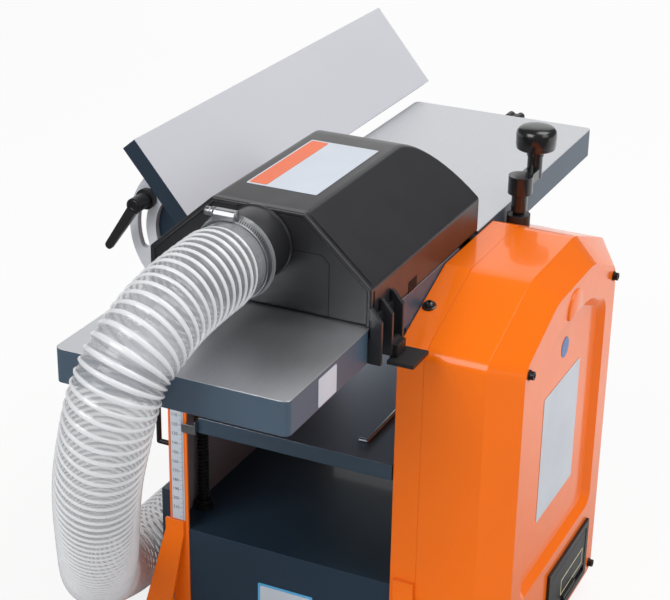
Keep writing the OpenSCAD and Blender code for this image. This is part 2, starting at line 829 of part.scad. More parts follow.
// Side view of the hood as (y, z), drawn in by i: a large quarter round at the far end
function hood_profile(i, low) =
    let (far_r = 54, near_r = 6, top = table_top + hood_h)
    concat([[hood_near + i, low], [hood_far - i, low]],
        [for (a = [0 : 10 : 90]) [hood_far - far_r + (far_r - i) * cos(a), top - far_r + (far_r - i) * sin(a)]],
        [for (a = [90 : 30 : 180]) [hood_near + near_r + (near_r - i) * cos(a), top - near_r + (near_r - i) * sin(a)]]);

// Hood body: where its cross section and its side view meet
module hood_form(i, low) {
    intersection() {
        along_y(hood_near - 1, hood_far + 1) polygon(hood_points(i, low));
        along_x(-half_w - 1, half_w + 1) polygon(hood_profile(i, low));
    }
}

rib_places = [-226, -204, -182];
latch_x = half_w + 8;
latch_z = table_top - 23;

// Ribbed hook on the hood's right skirt that reaches down the table's edge
module hood_hook() {
    rib_t = 4;
    hook_low = table_top - 30;
    hook_x = half_w + gap;
    box([hook_x, rib_places[0], table_top - 8], [hook_x + 3, rib_places[2] + rib_t, table_top + skirt_h]);
    box([half_w - 2, hood_near + 4, table_top + 1], [hook_x + 1, rib_places[2] + rib_t, table_top + skirt_h - 1]);
    for (y = rib_places)
        along_y(y, y + rib_t) polygon([[hook_x, hook_low], [hook_x + 12, hook_low],
            [hook_x + 12, table_top + 9], [hook_x + 3, table_top + 20], [hook_x, table_top + 20]]);
}

module hood() {
    low = table_top;
    panel_half = half_w - 39;
    panel_top = table_top + 56;
    panel_in = 2;
    notch_y = -142;
    color(black) difference() {
        union() {
            difference() {
                hood_form(0, low);
                difference() {
                    hood_form(hood_wall, low - 1);
                    box([-panel_half - hood_wall, hood_near, low - 2],
                        [panel_half + hood_wall, hood_near + panel_in + hood_wall, panel_top + hood_wall]);
                }
            }
            rod_y(0, hood_near - spigot_len, hood_near + 6, port_z, spigot_r);
            hood_hook();
        }
        difference() {
            box([-panel_half, hood_near - 1, low - 2], [panel_half, hood_near + panel_in, panel_top]);
            rod_y(0, hood_near - spigot_len, hood_near + 6, port_z, spigot_r);
        }
        rod_y(0, hood_near - spigot_len - 1, hood_near + 7, port_z, spigot_r - hood_wall);
        rod_y(latch_x, rib_places[1] - 1, rib_places[2] + 6, latch_z, 2.5 + fit);
        box([half_w - hood_wall - 1, notch_y, low - 1], [half_w + 1, notch_y + 18, low + 11]);
    }
}

// Paddle lever that holds the hood's hook under the table's edge
module latch_lever() {
    near = rib_places[1] + 4 + gap;
    far = rib_places[2] - gap;
    color(black) {
        rod_y(latch_x, near - 4, far + 4, latch_z, 2.5);
        rod_y(latch_x, near, far, latch_z, 4.5);
        box([latch_x + 1, near, latch_z - 11], [latch_x + 8, far, latch_z + 2]);
        box([latch_x + 2, near - 8, latch_z - 13], [latch_x + 26, far + 8, latch_z - 9.5]);
    }
}

// Worm-drive band round the hose's end, with its screw housing on top
module hose_clamp() {
    band_w = 8;
    band_r = hose_r * clamp_squeeze + fit;
    near = hose_start - 10;
    housing_x = -5;
    color(steel) {
        difference() {
            rod_y(0, near, near + band_w, port_z, band_r + 1.2);
            rod_y(0, near - 1, near + band_w + 1, port_z, band_r);
        }
        translate([housing_x, near + band_w / 2, port_z + band_r + 0.2]) {
            translate([-10, -5.5, 0]) cube([20, 11, 8]);
            translate([-19, 0, 4]) rotate([0, 90, 0]) cylinder(h = 10, r = 3.8, $fn = 24);
        }
    }
}

// Smooth curve through the hose's route, and the rings of its ribs along it
function spline(p, i, t) =
    let (n = len(p), a = p[max(i - 1, 0)], b = p[i], c = p[i + 1], d = p[min(i + 2, n - 1)])
    0.5 * ((2 * b) + (c - a) * t + (2 * a - 5 * b + 4 * c - d) * t * t
        + (3 * b - a - 3 * c + d) * t * t * t);
samples = 8;
hose_line = [for (i = [0 : len(hose_route) - 2], k = [0 : samples - 1])
    spline(hose_route, i, k / samples), hose_route[len(hose_route) - 1]];
function run_length(p, i = 0, sum = 0) =
    i >= len(p) - 1 ? [sum] : concat([sum], run_length(p, i + 1, sum + norm(p[i + 1] - p[i])));
hose_run = run_length(hose_line);
hose_len = hose_run[len(hose_run) - 1];
function at_length(s, i = 0) =
    i >= len(hose_run) - 2 || hose_run[i + 1] >= s
        ? let (t = (s - hose_run[i]) / (hose_run[i + 1] - hose_run[i]))
          hose_line[i] + (hose_line[i + 1] - hose_line[i]) * t
        : at_length(s, i + 1);
function unit(v) = v / norm(v);
function hose_way(s) = unit(at_length(min(s + 3, hose_len)) - at_length(max(s - 3, 0)));
function squeeze(s) = s < 14 ? clamp_squeeze : s > 40 ? 1 : clamp_squeeze + (1 - clamp_squeeze) * (s - 14) / 26;
function valley(s) = s < 18 ? 0 : s > 44 ? hose_valley : hose_valley * (s - 18) / 26;
function hose_ring(s, r) =
    let (c = at_length(s), w = hose_way(s), u = unit(cross(w, [1, 0, 0])), v = cross(w, u))
    [for (k = [0 : hose_sides - 1])
        let (a = (k + 0.5) * 360 / hose_sides) c + r * (cos(a) * u + sin(a) * v)];

// Ribbed hose: outer rings alternate between rib and valley, inner rings make the bore
module dust_hose() {
    rib_count = floor(hose_len / rib_pitch);
    step = hose_len / rib_count / 2;
    outer = [for (k = [0 : 2 * rib_count]) let (s = k * step)
        hose_ring(s, squeeze(s) * (hose_r - (k % 2 == 0 ? valley(s) : 0)))];
    inner = [for (k = [rib_count : -1 : 0]) let (s = 2 * k * step)
        hose_ring(s, squeeze(s) * (hose_r - valley(s)) - hose_skin)];
    rings = concat(outer, inner);
    count = len(rings);
    faces = [for (k = [0 : count - 1], j = [0 : hose_sides - 1])
        let (a = k * hose_sides + j, b = k * hose_sides + (j + 1) % hose_sides,
             c = ((k + 1) % count) * hose_sides + j, d = ((k + 1) % count) * hose_sides + (j + 1) % hose_sides)
        each [[a, c, b], [b, c, d]]];
    color([0.85, 0.86, 0.87]) polyhedron(points = [for (r = rings) each r], faces = faces);
}

// Moulded cuff at the hose's far end
module hose_connector() {
    end = hose_route[len(hose_route) - 1];
    plug_r = (hose_r - hose_valley - hose_skin) * cos(180 / hose_sides) - 0.3;
    color(black) difference() {
        union() {
            rod_y(end[0], end[1] - 30, end[1] + 30, end[2], plug_r);
            rod_y(end[0], end[1], end[1] + 8, end[2], hose_r);
            rod_y(end[0], end[1] + 8, end[1] + 46, end[2], plug_r + 1.6);
        }
        rod_y(end[0], end[1] - 31, end[1] + 47, end[2], outlet_r);
    }
}

// Cast fence carrier on the left frame: plate, two hinge ears and the clamp's arm
module fence_support() {
    plate_t = 7;
    face = left_out;
    plate_low = table_top - 85;
    arm_y = quadrant_y + quadrant_t + gap;
    arm_t = 7;
    color(slate) difference() {
        union() {
            box([face - plate_t, -ear_y - ear_w / 2, plate_low], [face, ear_y + ear_w / 2, hinge_z - 20]);
            for (side = [-1, 1]) {
                box([face - plate_t, side * ear_y - ear_w / 2, plate_low], [face, side * ear_y + ear_w / 2, hinge_z]);
                rod_y(hinge_x - 1, side * ear_y - ear_w / 2, side * ear_y + ear_w / 2, hinge_z, 6.5);
            }
            along_y(arm_y, arm_y + arm_t) polygon([[face, plate_low], [face - plate_t, plate_low],
                [clamp_x - 9, clamp_z - 3], [clamp_x - 5, clamp_z + 7], [clamp_x + 6, clamp_z + 6],
                [face - 2, hinge_z - 8], [face, hinge_z - 20]]);
            rod_y(clamp_x, arm_y, arm_y + 14, clamp_z, 9);
            box([face - plate_t, arm_y, plate_low], [face, -ear_y, hinge_z - 20]);
        }
        rod_y(hinge_x, -ear_y - 30, ear_y + 30, hinge_z, 3 + fit);
        rod_y(clamp_x, arm_y - 1, arm_y + 15, clamp_z, 4);
        for (y = [-60, 0, 60])
            rod_x(face - plate_t - 1, face + 1, y, plate_low + 20, 3.3);
    }
}

module fence_pin() {
    color(steel) rod_y(hinge_x, quadrant_y - 3, ear_y + ear_w / 2 + 3, hinge_z, 3);
}

// What follows is drawn upright about the hinge and then tilted back
module tilted() {
    translate([hinge_x, 0, hinge_z]) rotate([0, -fence_tilt, 0]) children();
}

// Folded fence: a tray open to the back, with hinge knuckles on its lower edge
module fence() {
    skin = 3;
    knuckle_r = 5.2;
    knuckle_half = 7.5;
    knuckle_y = ear_y - ear_w / 2 - gap - knuckle_half;
    front = fence_t + gap;
    color(slate) tilted() difference() {
        union() {
            difference() {
                box([front - fence_t, fence_near, 0.4], [front, fence_far, fence_h + 0.4]);
                box([front - fence_t - 1, fence_near + skin, 0.4 + skin],
                    [front - skin, fence_far - skin, fence_h + 0.4 - skin]);
            }
            for (side = [-1, 1])
                rod_y(0, side * knuckle_y - knuckle_half, side * knuckle_y + knuckle_half, 0, knuckle_r);
        }
        for (side = [-1, 1])
            rod_y(0, side * ear_y - ear_w / 2 - gap, side * ear_y + ear_w / 2 + gap, 0, 8.5);
        rod_y(0, quadrant_y - 4, quadrant_y + quadrant_t + 9, 0, 12);
        rod_y(0, -ear_y - 40, ear_y + 40, 0, 3 + fit);
    }
}

// Points on an arc round c, from angle a0 to a1
function arc_points(c, r, a0, a1, n, skip = 0) =
    [for (k = [skip : n - skip]) let (a = a0 + (a1 - a0) * k / n) [c[0] + r * cos(a), c[1] + r * sin(a)]];

// Cast quadrant on the back of the fence, with the clamp's curved slot
module fence_quadrant() {
    band_in = slot_r - 15;
    band_out = slot_r + 13.5;
    slot_half = 4.5;
    band_from = 91;
    band_to = 178;
    slot_from = clamp_angle - fence_tilt - 6;
    slot_to = clamp_angle + 6;
    arm_angle = 170;
    arm_half = 10;
    foot_low = 42;
    foot_high = 71;
    band = concat(arc_points([0, 0], band_out, band_from, band_to, 24),
        arc_points([0, 0], band_in, band_to, band_from, 24));
    curved_slot = concat(arc_points([0, 0], slot_r + slot_half, slot_from, slot_to, 16),
        arc_points(slot_r * [cos(slot_to), sin(slot_to)], slot_half, slot_to, slot_to + 180, 8, 1),
        arc_points([0, 0], slot_r - slot_half, slot_to, slot_from, 16),
        arc_points(slot_r * [cos(slot_from), sin(slot_from)], slot_half, slot_from + 180, slot_from + 360, 8, 1));
    boss = arc_points([0, 0], arm_half + 1, 0, 350, 35);
    color([0.76, 0.78, 0.80]) tilted() translate([0, quadrant_y + quadrant_t, 0]) rotate([90, 0, 0]) difference() {
        linear_extrude(quadrant_t) difference() {
            union() {
                polygon(band);
                rotate(arm_angle) translate([6, -arm_half]) square([band_in, 2 * arm_half]);
                translate([-12, foot_low]) square([12 + gap + fence_t - 3, foot_high - foot_low]);
                polygon(boss);
            }
            polygon(curved_slot);
        }
        translate([0, 0, -1]) cylinder(h = quadrant_t + 2, r = 3 + fit);
    }
}

module clamp_bolt() {
    color(steel) rod_y(clamp_x, quadrant_y - 22, quadrant_y + quadrant_t + 13, clamp_z, 4 - fit);
}

// Clamping lever: flanged hub on the bolt and a tapering arm
module clamp_lever() {
    hub_y = quadrant_y - gap;
    arm_angle = 236;
    arm_len = 55;
    color(black) difference() {
        union() {
            rod_y(clamp_x, hub_y - 5, hub_y, clamp_z, 10);
            rod_y(clamp_x, hub_y - 25, hub_y - 4, clamp_z, 7.5);
            hull() {
                rod_y(clamp_x, hub_y - 24, hub_y - 16, clamp_z, 5);
                rod_y(clamp_x + arm_len * cos(arm_angle), hub_y - 22, hub_y - 18,
                    clamp_z + arm_len * sin(arm_angle), 4);
            }
        }
        rod_y(clamp_x, hub_y - 22 , hub_y + 1, clamp_z, 4);
    }
}

// Wire hook on the left frame for winding up a lead
module cable_hook() {
    wire_r = 2.5;
    hook_x = left_out - 20;
    hook_y = -(frame_half - 16);
    low = 222;
    high = 300;
    color(black) {
        rod_x(hook_x, left_out, hook_y, low, wire_r);
        rod_x(hook_x, left_out, hook_y, high, wire_r);
        translate([hook_x, hook_y, low]) cylinder(h = high - low, r = wire_r);
        for (z = [low, high])
            translate([hook_x, hook_y, z]) sphere(r = wire_r);
    }
}

left_side_frame();
right_side_frame();
base_housing();
motor_cover();
foot_near_left();
foot_near_right();
foot_far_left();
foot_far_right();
rubber_feet();
cross_bars();
outfeed_table();
infeed_table();
star_knob();
thickness_table();
scale_pointer();
scale_strip();
guide_rod();
lift_nuts();
lead_screw_left();
lead_screw_right();
screw_bushes();
crank_bush();
crank_arm();
crank_knob();
cutterblock();
cutter_knives();
cutter_bearings();
cutter_pulley();
motor();
motor_pulley();
drive_belt();
near_feed_roller();
far_feed_roller();
roller_blocks();
kickback_rod();
kickback_fingers();
belt_cover();
cover_screws();
switch_plate();
switch_flap();
start_button();
stop_button();
hood();
latch_lever();
hose_clamp();
dust_hose();
hose_connector();
fence_support();
fence_pin();
fence();
fence_quadrant();
clamp_bolt();
clamp_lever();
cable_hook();
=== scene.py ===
"""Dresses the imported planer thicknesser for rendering.

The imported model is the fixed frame. Its solids get procedural finishes, and the pieces that the solids
only block in, such as the ribbed hose, the hood and the belt cover, are modelled here in full.
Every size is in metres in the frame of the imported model, and every piece rides on one of its bodies.
"""

from __future__ import annotations

import logging
import math
from dataclasses import dataclass
from enum import Enum
from typing import Callable, Sequence

import bmesh
import bpy
from mathutils import Matrix, Vector

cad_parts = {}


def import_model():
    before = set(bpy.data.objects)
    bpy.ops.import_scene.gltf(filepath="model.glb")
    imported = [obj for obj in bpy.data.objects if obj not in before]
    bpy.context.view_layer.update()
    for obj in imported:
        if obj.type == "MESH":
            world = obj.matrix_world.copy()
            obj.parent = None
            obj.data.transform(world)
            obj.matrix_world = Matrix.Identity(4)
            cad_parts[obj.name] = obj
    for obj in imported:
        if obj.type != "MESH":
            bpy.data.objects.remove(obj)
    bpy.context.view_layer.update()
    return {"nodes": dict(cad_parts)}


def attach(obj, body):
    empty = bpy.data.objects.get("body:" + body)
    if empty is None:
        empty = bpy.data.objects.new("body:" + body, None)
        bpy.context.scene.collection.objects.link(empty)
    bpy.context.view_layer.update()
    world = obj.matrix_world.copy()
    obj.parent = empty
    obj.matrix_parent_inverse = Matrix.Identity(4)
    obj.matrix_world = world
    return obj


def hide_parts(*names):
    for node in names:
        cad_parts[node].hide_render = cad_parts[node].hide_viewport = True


LOG = logging.getLogger("planer_thicknesser")
MM = 0.001

Colour = tuple[float, float, float]
Point = tuple[float, float, float]


def paint_chip(red: int, green: int, blue: int) -> Colour:
    """Turns a colour as seen on screen into the linear values that shaders use.

    Args:
        red: Red from 0 to 255.
        green: Green from 0 to 255.
        blue: Blue from 0 to 255.

    Returns:
        The linear colour.
    """

    def linear(value: int) -> float:
        """One channel, made linear."""
        share = value / 255.0
        return share / 12.92 if share <= 0.04045 else ((share + 0.055) / 1.055) ** 2.4

    return linear(red), linear(green), linear(blue)


class ShaderGraph:
    """Adds nodes to one material and links them, with Object coordinates throughout."""

    def __init__(self, name: str) -> None:
        """Starts an empty material.

        Args:
            name: The material's name.
        """
        self.material = bpy.data.materials.new(name)
        self.material.use_nodes = True
        self.nodes = self.material.node_tree.nodes
        self.links = self.material.node_tree.links
        self.nodes.clear()
        output = self.nodes.new("ShaderNodeOutputMaterial")
        self.shader = self.nodes.new("ShaderNodeBsdfPrincipled")
        self.links.new(self.shader.outputs["BSDF"], output.inputs["Surface"])
        self.coords = self.nodes.new("ShaderNodeTexCoord").outputs["Object"]

    def put(self, socket: bpy.types.NodeSocket, value: object) -> None:
        """Links a socket to a node's output, or sets it to a plain value.

        Args:
            socket: The input to fill.
            value: An output socket, a number or a colour.
        """
        if isinstance(value, bpy.types.NodeSocket):
            self.links.new(value, socket)
        elif isinstance(value, tuple) and len(value) == 3 and socket.type == "RGBA":
            socket.default_value = (*value, 1.0)
        else:
            socket.default_value = value

    def surface(self, **sockets: object) -> None:
        """Fills the shader's own sockets, named in lower case with underscores."""
        by_name = {s.name.lower().replace(" ", "_"): s for s in self.shader.inputs}
        for name, value in sockets.items():
            self.put(by_name[name], value)

    def place(self, scale: Point = (1, 1, 1), turn: Point = (0, 0, 0), move: Point = (0, 0, 0)) -> bpy.types.NodeSocket:
        """Object coordinates, moved, turned and scaled.

        Args:
            scale: Scale along each axis.
            turn: Rotation in radians.
            move: Offset in metres.

        Returns:
            The vector.
        """
        mapping = self.nodes.new("ShaderNodeMapping")
        mapping.inputs["Location"].default_value = move
        mapping.inputs["Rotation"].default_value = turn
        mapping.inputs["Scale"].default_value = scale
        self.links.new(self.coords, mapping.inputs["Vector"])
        return mapping.outputs["Vector"]

    def axis(self, name: str) -> bpy.types.NodeSocket:
        """One Object coordinate, X, Y or Z, in metres."""
        split = self.nodes.new("ShaderNodeSeparateXYZ")
        self.links.new(self.coords, split.inputs["Vector"])
        return split.outputs[name]

    def noise(self, scale: float, detail: float = 3.0, vector: object = None) -> bpy.types.NodeSocket:
        """Cloudy noise from 0 to 1.

        Args:
            scale: Lumps per metre.
            detail: Octaves.
            vector: Coordinates, or None for Object coordinates.

        Returns:
            The noise value.
        """
        node = self.nodes.new("ShaderNodeTexNoise")
        node.inputs["Scale"].default_value = scale
        node.inputs["Detail"].default_value = detail
        self.links.new(vector or self.coords, node.inputs["Vector"])
        return node.outputs["Fac"]

    def sums(self, operation: str, first: object, second: object = 0.0) -> bpy.types.NodeSocket:
        """A Math node.

        Args:
            operation: The node's operation.
            first: First value.
            second: Second value.

        Returns:
            The result.
        """
        node = self.nodes.new("ShaderNodeMath")
        node.operation = operation
        self.put(node.inputs[0], first)
        self.put(node.inputs[1], second)
        return node.outputs["Value"]

    def spread(self, value: bpy.types.NodeSocket, low: float, high: float) -> bpy.types.NodeSocket:
        """Maps a value from 0..1 to low..high."""
        node = self.nodes.new("ShaderNodeMapRange")
        node.inputs["To Min"].default_value = low
        node.inputs["To Max"].default_value = high
        self.links.new(value, node.inputs["Value"])
        return node.outputs["Result"]

    def mix(self, share: object, first: object, second: object) -> bpy.types.NodeSocket:
        """Mixes two colours.

        Args:
            share: How much of the second, from 0 to 1.
            first: First colour.
            second: Second colour.

        Returns:
            The mixed colour.
        """
        node = self.nodes.new("ShaderNodeMix")
        node.data_type = "RGBA"
        self.put(node.inputs[0], share)
        self.put(node.inputs[6], first)
        self.put(node.inputs[7], second)
        return node.outputs[2]

    def blend(self, share: object, first: object, second: object) -> bpy.types.NodeSocket:
        """Mixes two numbers.

        Args:
            share: How much of the second, from 0 to 1.
            first: First number.
            second: Second number.

        Returns:
            The mixed number.
        """
        node = self.nodes.new("ShaderNodeMix")
        node.data_type = "FLOAT"
        self.put(node.inputs[0], share)
        self.put(node.inputs[2], first)
        self.put(node.inputs[3], second)
        return node.outputs[0]

    def tones(self, colour: Colour, spread: float, value: bpy.types.NodeSocket) -> bpy.types.NodeSocket:
        """A colour that wanders a little lighter and darker.

        Args:
            colour: The middle colour.
            spread: Share by which it wanders.
            value: Noise from 0 to 1.

        Returns:
            The colour.
        """
        dark = tuple(c * (1.0 - spread) for c in colour)
        light = tuple(min(1.0, c * (1.0 + spread)) for c in colour)
        return self.mix(value, dark, light)

    def relief(self, height: object, depth: float, edge: float = 0.0) -> None:
        """Gives the surface a bump, over softened edges.

        Args:
            height: Height from 0 to 1.
            depth: What a height of 1 stands for, in metres.
            edge: Radius of the softened edges, or 0.
        """
        node = self.nodes.new("ShaderNodeBump")
        node.inputs["Strength"].default_value = 1.0
        node.inputs["Distance"].default_value = depth
        self.put(node.inputs["Height"], height)
        if edge > 0.0:
            soft = self.nodes.new("ShaderNodeBevel")
            soft.samples = 4
            soft.inputs["Radius"].default_value = edge
            self.links.new(soft.outputs["Normal"], node.inputs["Normal"])
        self.links.new(node.outputs["Normal"], self.shader.inputs["Normal"])


@dataclass(frozen=True)
class SprayedPaint:
    """Sprayed and baked coat with a little orange peel and a clear gloss."""

    name: str
    colour: Colour
    roughness: float = 0.32
    gloss: float = 0.5
    peel: float = 420.0
    peel_depth: float = 0.00004
    edge: float = 0.0012

    def build(self) -> bpy.types.Material:
        """The material."""
        graph = ShaderGraph(self.name)
        cloud = graph.noise(9.0, 2.0)
        graph.surface(
            base_color=graph.tones(self.colour, 0.05, cloud),
            roughness=graph.spread(graph.noise(60.0), self.roughness - 0.05, self.roughness + 0.07),
            coat_weight=self.gloss,
            coat_roughness=0.06,
            ior=1.32,
        )
        graph.relief(graph.noise(self.peel, 2.0), self.peel_depth, self.edge)
        return graph.material


@dataclass(frozen=True)
class LinedPaint:
    """Sprayed coat whose one face, across an axis, is a pale mauve-grey: painted reflection on that face."""

    name: str
    colour: Colour
    painted_reflection: Colour
    face_axis: str
    face_at: float
    roughness: float = 0.34

    def build(self) -> bpy.types.Material:
        """The material."""
        graph = ShaderGraph(self.name)
        away = graph.sums("ABSOLUTE", graph.sums("SUBTRACT", graph.axis(self.face_axis), self.face_at))
        on_face = graph.sums("LESS_THAN", away, 0.0003)
        cloud = graph.noise(9.0, 2.0)
        coat = graph.tones(self.colour, 0.05, cloud)
        graph.surface(
            # On the one face the colour is the pale mauve-grey of painted reflection, not the coat.
            base_color=graph.mix(on_face, coat, graph.tones(self.painted_reflection, 0.08, cloud)),
            roughness=graph.blend(on_face, self.roughness, 0.5),
            coat_weight=0.4,
            coat_roughness=0.12,
        )
        graph.relief(graph.noise(420.0, 2.0), 0.00004, 0.0012)
        return graph.material


@dataclass(frozen=True)
class PlanedTop:
    """Casting with painted sides and a planed bright face above a height."""

    name: str
    paint: Colour
    metal: Colour
    face_at: float
    streak_axis: str = "Y"

    def build(self) -> bpy.types.Material:
        """The material."""
        graph = ShaderGraph(self.name)
        bright = graph.sums("GREATER_THAN", graph.axis("Z"), self.face_at - 0.0004)
        along = (1100.0, 60.0, 60.0) if self.streak_axis == "Y" else (60.0, 1100.0, 60.0)
        streak = graph.noise(1.0, 4.0, graph.place(along))
        sparkle = graph.noise(2600.0, 1.0)
        cloud = graph.noise(14.0, 3.0)
        sheen = graph.sums("MULTIPLY", streak, graph.spread(sparkle, 0.75, 1.25))
        worn = graph.tones(self.metal, 0.07, sheen)
        coat = graph.tones(self.paint, 0.10, cloud)
        graph.surface(
            base_color=graph.mix(bright, coat, worn),
            metallic=graph.sums("MULTIPLY", bright, 0.94),
            roughness=graph.blend(bright, 0.42, graph.spread(sheen, 0.30, 0.40)),
        )
        grain = graph.blend(bright, graph.noise(700.0, 2.0), streak)
        graph.relief(grain, 0.000006, 0.0010)
        return graph.material


@dataclass(frozen=True)
class FacedFence:
    """Painted body whose front face, along a slanting normal, carries a pale hard coat."""

    name: str
    paint: Colour
    face: Colour
    normal: Point
    face_at: float

    def build(self) -> bpy.types.Material:
        """The material."""
        graph = ShaderGraph(self.name)
        across = graph.nodes.new("ShaderNodeVectorMath")
        across.operation = "DOT_PRODUCT"
        across.inputs[1].default_value = self.normal
        graph.links.new(graph.coords, across.inputs[0])
        front = graph.sums("GREATER_THAN", across.outputs["Value"], self.face_at - 0.0006)
        cloud = graph.noise(7.0, 2.0)
        fine = graph.noise(1500.0, 2.0)
        graph.surface(
            base_color=graph.mix(front, graph.tones(self.paint, 0.08, cloud), graph.tones(self.face, 0.03, cloud)),
            roughness=graph.blend(front, 0.40, graph.spread(fine, 0.34, 0.46)),
        )
        graph.relief(fine, 0.00003, 0.0010)
        return graph.material


@dataclass(frozen=True)
class BareMetal:
    """Ground, plated or blackened metal with fine marks along one direction."""

    name: str
    colour: Colour
    roughness: float
    metallic: float = 1.0
    marks: Point = (300.0, 300.0, 300.0)
    depth: float = 0.00003
    edge: float = 0.0006

    def build(self) -> bpy.types.Material:
        """The material."""
        graph = ShaderGraph(self.name)
        marks = graph.noise(1.0, 4.0, graph.place(self.marks))
        cloud = graph.noise(30.0, 3.0)
        graph.surface(
            base_color=graph.tones(self.colour, 0.10, marks),
            metallic=self.metallic,
            roughness=graph.spread(cloud, self.roughness - 0.06, self.roughness + 0.10),
        )
        graph.relief(marks, self.depth, self.edge)
        return graph.material


@dataclass(frozen=True)
class MouldedPlastic:
    """Moulded plastic or rubber with an eroded grain."""

    name: str
    colour: Colour
    roughness: float = 0.45
    grain: float = 1600.0
    depth: float = 0.00005
    gloss: float = 0.0
    edge: float = 0.0008

    def build(self) -> bpy.types.Material:
        """The material."""
        graph = ShaderGraph(self.name)
        grain = graph.noise(self.grain, 3.0)
        cloud = graph.noise(18.0, 2.0)
        graph.surface(
            base_color=graph.tones(self.colour, 0.12, cloud),
            roughness=graph.spread(graph.noise(45.0), self.roughness - 0.05, self.roughness + 0.08),
            coat_weight=self.gloss,
            coat_roughness=0.25,
        )
        graph.relief(grain, self.depth, self.edge)
        return graph.material


@dataclass(frozen=True)
class GripPlastic:
    """Black plastic with a fine grid of ribs pressed into it."""

    name: str
    colour: Colour
    ribs: float = 2600.0
    depth: float = 0.0004

    def build(self) -> bpy.types.Material:
        """The material."""
        graph = ShaderGraph(self.name)
        across = graph.sums("SINE", graph.sums("MULTIPLY", graph.axis("X"), self.ribs))
        along = graph.sums("SINE", graph.sums("MULTIPLY", graph.axis("Y"), self.ribs))
        grid = graph.spread(graph.sums("MULTIPLY", across, along), 0.0, 1.0)
        graph.surface(
            base_color=graph.tones(self.colour, 0.12, graph.noise(18.0, 2.0)),
            roughness=graph.spread(graph.noise(45.0), 0.40, 0.52),
        )
        graph.relief(grid, self.depth)
        return graph.material


@dataclass(frozen=True)
class HoseWall:
    """Milky film between white ribs. The rib attribute runs from 0 on the film to 1 on a rib's crest."""

    name: str
    film: Colour
    rib: Colour
    film_cover: float = 0.42

    def build(self) -> bpy.types.Material:
        """The material."""
        graph = ShaderGraph(self.name)
        attribute = graph.nodes.new("ShaderNodeAttribute")
        attribute.attribute_name = "rib"
        edge = graph.nodes.new("ShaderNodeMapRange")
        edge.interpolation_type = "SMOOTHSTEP"
        edge.inputs["From Min"].default_value = 0.12
        edge.inputs["From Max"].default_value = 0.52
        graph.links.new(attribute.outputs["Fac"], edge.inputs["Value"])
        crest = edge.outputs["Result"]
        haze = graph.noise(40.0, 3.0)
        cover = graph.blend(crest, graph.spread(haze, self.film_cover - 0.08, self.film_cover + 0.10), 0.97)
        graph.surface(
            base_color=graph.mix(crest, graph.tones(self.film, 0.06, haze), self.rib),
            roughness=graph.blend(crest, 0.10, 0.34),
            alpha=cover,
            coat_weight=0.7,
            coat_roughness=0.05,
            ior=1.45,
        )
        graph.relief(graph.noise(220.0, 2.0), 0.00010)
        return graph.material


class Finish(Enum):
    """Every finish on the machine."""

    ORANGE = SprayedPaint("orange_coat", paint_chip(249, 114, 2), 0.30, 0.5)
    # The pale mauve-grey on the left frame's inner web face is painted reflection.
    ORANGE_FRAME = LinedPaint("orange_frame_coat", paint_chip(249, 114, 2), paint_chip(128, 118, 124), "X", -0.124)
    # The tables' paint is set lighter than SLATE: partly a bluer paint of their own, partly painted light on their near
    # sides. SLATE is set darker, partly painted shade on the low base.
    SLATE = SprayedPaint("slate_coat", paint_chip(38, 56, 72), 0.36, 0.3, 700.0, 0.00005)
    PLANED = PlanedTop("planed_table", paint_chip(70, 88, 105), paint_chip(218, 220, 224), 0.425)
    THICKNESS_BED = PlanedTop("bed_coat", paint_chip(54, 72, 88), paint_chip(150, 158, 172), 0.2665)
    FENCE = FacedFence("fence_coat", paint_chip(36, 52, 68), paint_chip(206, 206, 213),
                       (math.cos(math.radians(40)), 0.0, math.sin(math.radians(40))), 0.193443)
    CASTING = MouldedPlastic("light_casting", paint_chip(198, 203, 210), 0.42, 500.0, 0.00012, 0.1)
    STEEL = BareMetal("ground_steel", paint_chip(176, 178, 182), 0.34, 1.0, (60.0, 900.0, 900.0))
    CHROME = BareMetal("bright_rod", paint_chip(214, 216, 220), 0.14, 1.0, (900.0, 40.0, 900.0), 0.00001)
    BLACKENED = BareMetal("black_oxide", paint_chip(38, 38, 40), 0.38, 0.5, (400.0, 400.0, 400.0))
    BRONZE = BareMetal("turned_bronze", paint_chip(176, 140, 88), 0.34)
    HOOD = MouldedPlastic("hood_plastic", paint_chip(37, 37, 41), 0.38, 1900.0, 0.00006, 0.3, 0.0014)
    BLACK = MouldedPlastic("black_plastic", paint_chip(34, 34, 36), 0.42, 1300.0, 0.00005, 0.1)
    RUBBER = MouldedPlastic("rubber", paint_chip(26, 26, 27), 0.70, 900.0, 0.00008)
    WHITE = MouldedPlastic("white_plate", paint_chip(195, 202, 212), 0.38, 1200.0, 0.00001, 0.2, 0.0)
    BAND = MouldedPlastic("orange_band", paint_chip(226, 98, 40), 0.38, 1200.0, 0.00001, 0.2, 0.0)
    BLUE = MouldedPlastic("blue_plate", paint_chip(52, 110, 176), 0.38, 1200.0, 0.00001, 0.2, 0.0)
    SKY = MouldedPlastic("pale_blue_plate", paint_chip(84, 172, 222), 0.38, 1200.0, 0.00001, 0.2, 0.0)
    GLOSS_BLACK = MouldedPlastic("polished_black", paint_chip(27, 27, 29), 0.20, 1300.0, 0.00001, 0.5)
    GRIP = GripPlastic("gripping_black", paint_chip(34, 34, 36))
    CREAM = MouldedPlastic("cream_line", paint_chip(214, 206, 170), 0.45, 1200.0, 0.00001, 0.0, 0.0)
    JOINT = MouldedPlastic("joint_shadow", paint_chip(14, 14, 15), 0.7, 1200.0, 0.00001, 0.0, 0.0)
    INK_AND_SHADE = MouldedPlastic("dark_marks", paint_chip(40, 42, 46), 0.5, 1200.0, 0.00001, 0.0, 0.0)
    RED = MouldedPlastic("red_button", paint_chip(196, 34, 30), 0.3, 900.0, 0.00002, 0.4)
    GREEN = MouldedPlastic("green_button", paint_chip(36, 138, 66), 0.3, 900.0, 0.00002, 0.4)
    HOSE = HoseWall("hose_wall", paint_chip(190, 193, 197), paint_chip(222, 223, 226))


